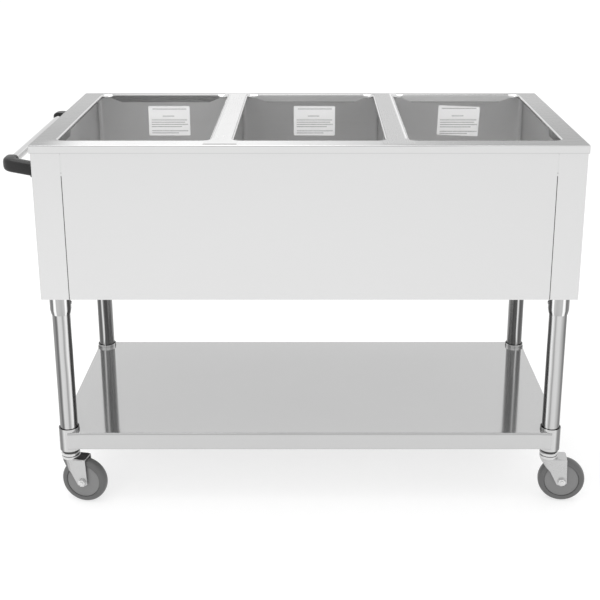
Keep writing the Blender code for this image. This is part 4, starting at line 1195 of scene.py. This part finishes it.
def make_wheel(corner, hub, radius):
    half_width = 0.013
    tyre, disc = wheel_profiles(radius, half_width)
    slot, name, body = "wheel_rubber", f"{corner}_caster_wheel", f"{corner}_wheel"
    tyre, disc = lathe(tyre, 96, 0.0012, ring=True, steps=3), lathe(disc, 96, 0.0006, ring=True)
    piece(f"{corner}_tyre", tyre, rubber, name, body, hub)
    piece(f"{corner}_wheel_disc", disc, hub_plastic, None, body, hub)


for corner_name in CORNERS:
    swivel_frame, hub_frame, trail_length, hub_height = caster_place(corner_name)
    make_stem(corner_name)
    make_fork(corner_name, swivel_frame, trail_length, hub_height)
    make_axle(corner_name, hub_frame)
    make_wheel(corner_name, hub_frame, hub_height)

# ---------- operator controls

CONTROL_FACE_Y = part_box("left_control_knob")[1].y - 0.0276


def on_control(spot, lift=0.0):
    """Frame of something standing on the control panel, its +Z towards the operator."""
    return shift(spot.x, CONTROL_FACE_Y + lift, spot.z) @ TOWARDS_OPERATOR


def make_dial(side, spot):
    """Metal dial plate with marks that grow round the knob."""
    profile = [(0.0055, 0.0003), (0.0275, 0.0003), (0.0275, 0.0010), (0.0055, 0.0010)]
    face = lathe(profile, 64, 0.0003, ring=True)
    piece(f"{side}_dial_plate", face, dial_metal, place=on_control(spot))
    marks, count, start = [], 11, 0.0228
    for i in range(count):
        length, width = (0.0040, 0.0011) if i % 2 == 0 else (0.0026, 0.0007)
        low, high = (start, -width / 2), (start + length, width / 2)
        mark = box_plate(low, high, width * 0.3, 0.0009, 0.00115)
        marks.append(moved(mark, turn("Z", 240 - 300 * i / (count - 1))))
    piece(f"{side}_dial_marks", joined(*marks), dark_print, place=on_control(spot))


def make_knob(side, spot):
    """Round skirt with a fluted rim, finger bar across it and a pointer line."""
    count, flutes = 96, 24
    # radius, height and depth of the flutes
    skirt = [(0.0200, 0.0, 0.0), (0.0208, 0.0008, 0.0005), (0.0206, 0.0048, 0.0005), (0.0192, 0.0060, 0.0)]
    # half length, half width and height
    bar = [
        (0.0176, 0.0085, 0.0062), (0.0170, 0.0070, 0.0075), (0.0162, 0.0056, 0.0225),
        (0.0154, 0.0048, 0.0240), (0.0140, 0.0036, 0.0246),
    ]
    rings = []
    for radius, height, flute in skirt:
        radii = [radius - flute * (math.cos(flutes * a) > 0) for a in angles(count)]
        points = [(r * math.cos(a), r * math.sin(a)) for r, a in zip(radii, angles(count))]
        rings.append(at_height(points, height))
    rings += [at_height(oval(half_width, half_length, count, 0.7), z) for half_length, half_width, z in bar]
    here, body, name = on_control(spot, 0.0026), f"{side}_knob", f"{side}_control_knob"
    piece(f"{side}_knob", loft(rings), black_plastic, name, body, here, sharp=40)
    line = box_plate((-0.0007, 0.0020), (0.0007, 0.0148), 0.0004, 0.0244, 0.0249, 3)
    piece(f"{side}_knob_pointer", line, ivory_plastic, None, body, here)


def make_lamp(side):
    """Pilot lamp: a domed lens on its stem, in a turned bezel."""
    name = f"{side}_pilot_lamp"
    here = on_control(middle(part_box(name)))
    base, dome, rise = 0.0030, 0.0060, 0.0042
    profile = [(AXIS, -0.020), (0.0052, -0.020), (0.0052, 0.0003), (0.0078, 0.0003)]
    profile += [(0.0078, 0.0020), (0.0064, 0.0026), (dome, base)]
    for a in (15, 30, 45, 60, 75):
        t = math.radians(a)
        profile.append((dome * math.cos(t), base + rise * math.sin(t)))
    profile.append((AXIS, base + rise))
    piece(f"{side}_lamp", lathe(profile, 48, 0.0003), lens, name, place=here)
    profile = [(0.0066, 0.0003), (0.0092, 0.0003), (0.0090, 0.0018), (0.0080, 0.0026), (0.0067, 0.0026)]
    piece(f"{side}_lamp_bezel", lathe(profile, 48, ring=True), chrome, place=here)


for side_name in SIDES:
    knob_spot = middle(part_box(f"{side_name}_control_knob"))
    make_dial(side_name, knob_spot)
    make_knob(side_name, knob_spot)
    make_lamp(side_name)

# ---------- studio


def make_floor():
    mesh = bpy.data.meshes.new("floor")
    half = 30.0
    corners = [(-half, -half, 0), (half, -half, 0), (half, half, 0), (-half, half, 0)]
    mesh.from_pydata(corners, [], [(0, 1, 2, 3)])
    tones, white = greys(0.41, 0.43), (1, 1, 1, 1)
    glow = {"Emission_Color": white, "Emission_Strength": 0.62}
    mesh.materials.append(moulded("floor_paper", tones, (0.75, 0.9), (0.02, 0.001), 40, 1.5, **glow))
    add("floor", mesh)


def make_light(name, location, target, size, power, mirrored_in_steel):
    light = bpy.data.lights.new(name, "AREA")
    light.shape = "RECTANGLE"
    light.size, light.size_y = size
    light.energy = power
    obj = add(name, light)
    obj.location = location
    obj.visible_glossy = mirrored_in_steel
    obj.rotation_euler = (Vector(target) - Vector(location)).to_track_quat("-Z", "Y").to_euler()


def make_world():
    world = bpy.data.worlds.new("studio")
    bpy.context.scene.world = world
    world.use_nodes = True
    background = world.node_tree.nodes["Background"]
    background.inputs["Color"].default_value = (1, 1, 1, 1)
    background.inputs["Strength"].default_value = 1.0


CAMERA_PLACE = (0.010, -2.3766, 1.3058)
CAMERA_PITCH = 0.2880  # radians below the horizon
CAMERA_LENS = 65.3
CAMERA_SHIFT = (-0.0240, -0.15)


def make_camera():
    data = bpy.data.cameras.new("camera")
    data.sensor_width = 36.0
    data.lens = CAMERA_LENS
    data.shift_x, data.shift_y = CAMERA_SHIFT
    data.clip_start, data.clip_end = 0.05, 200.0
    camera = add("camera", data)
    camera.location = CAMERA_PLACE
    camera.rotation_euler = (math.pi / 2 - CAMERA_PITCH, 0, 0)
    bpy.context.scene.camera = camera


make_floor()
make_world()
make_light("top_softbox", (-0.3, 0.2, 2.6), (0, 0, 0.8), (2.6, 1.2), 24, True)
make_light("front_softbox", (-0.6, -3.2, 1.7), (0, 0, 0.5), (3.0, 1.6), 26, False)
make_camera()
bpy.context.scene.view_settings.view_transform = "Standard"
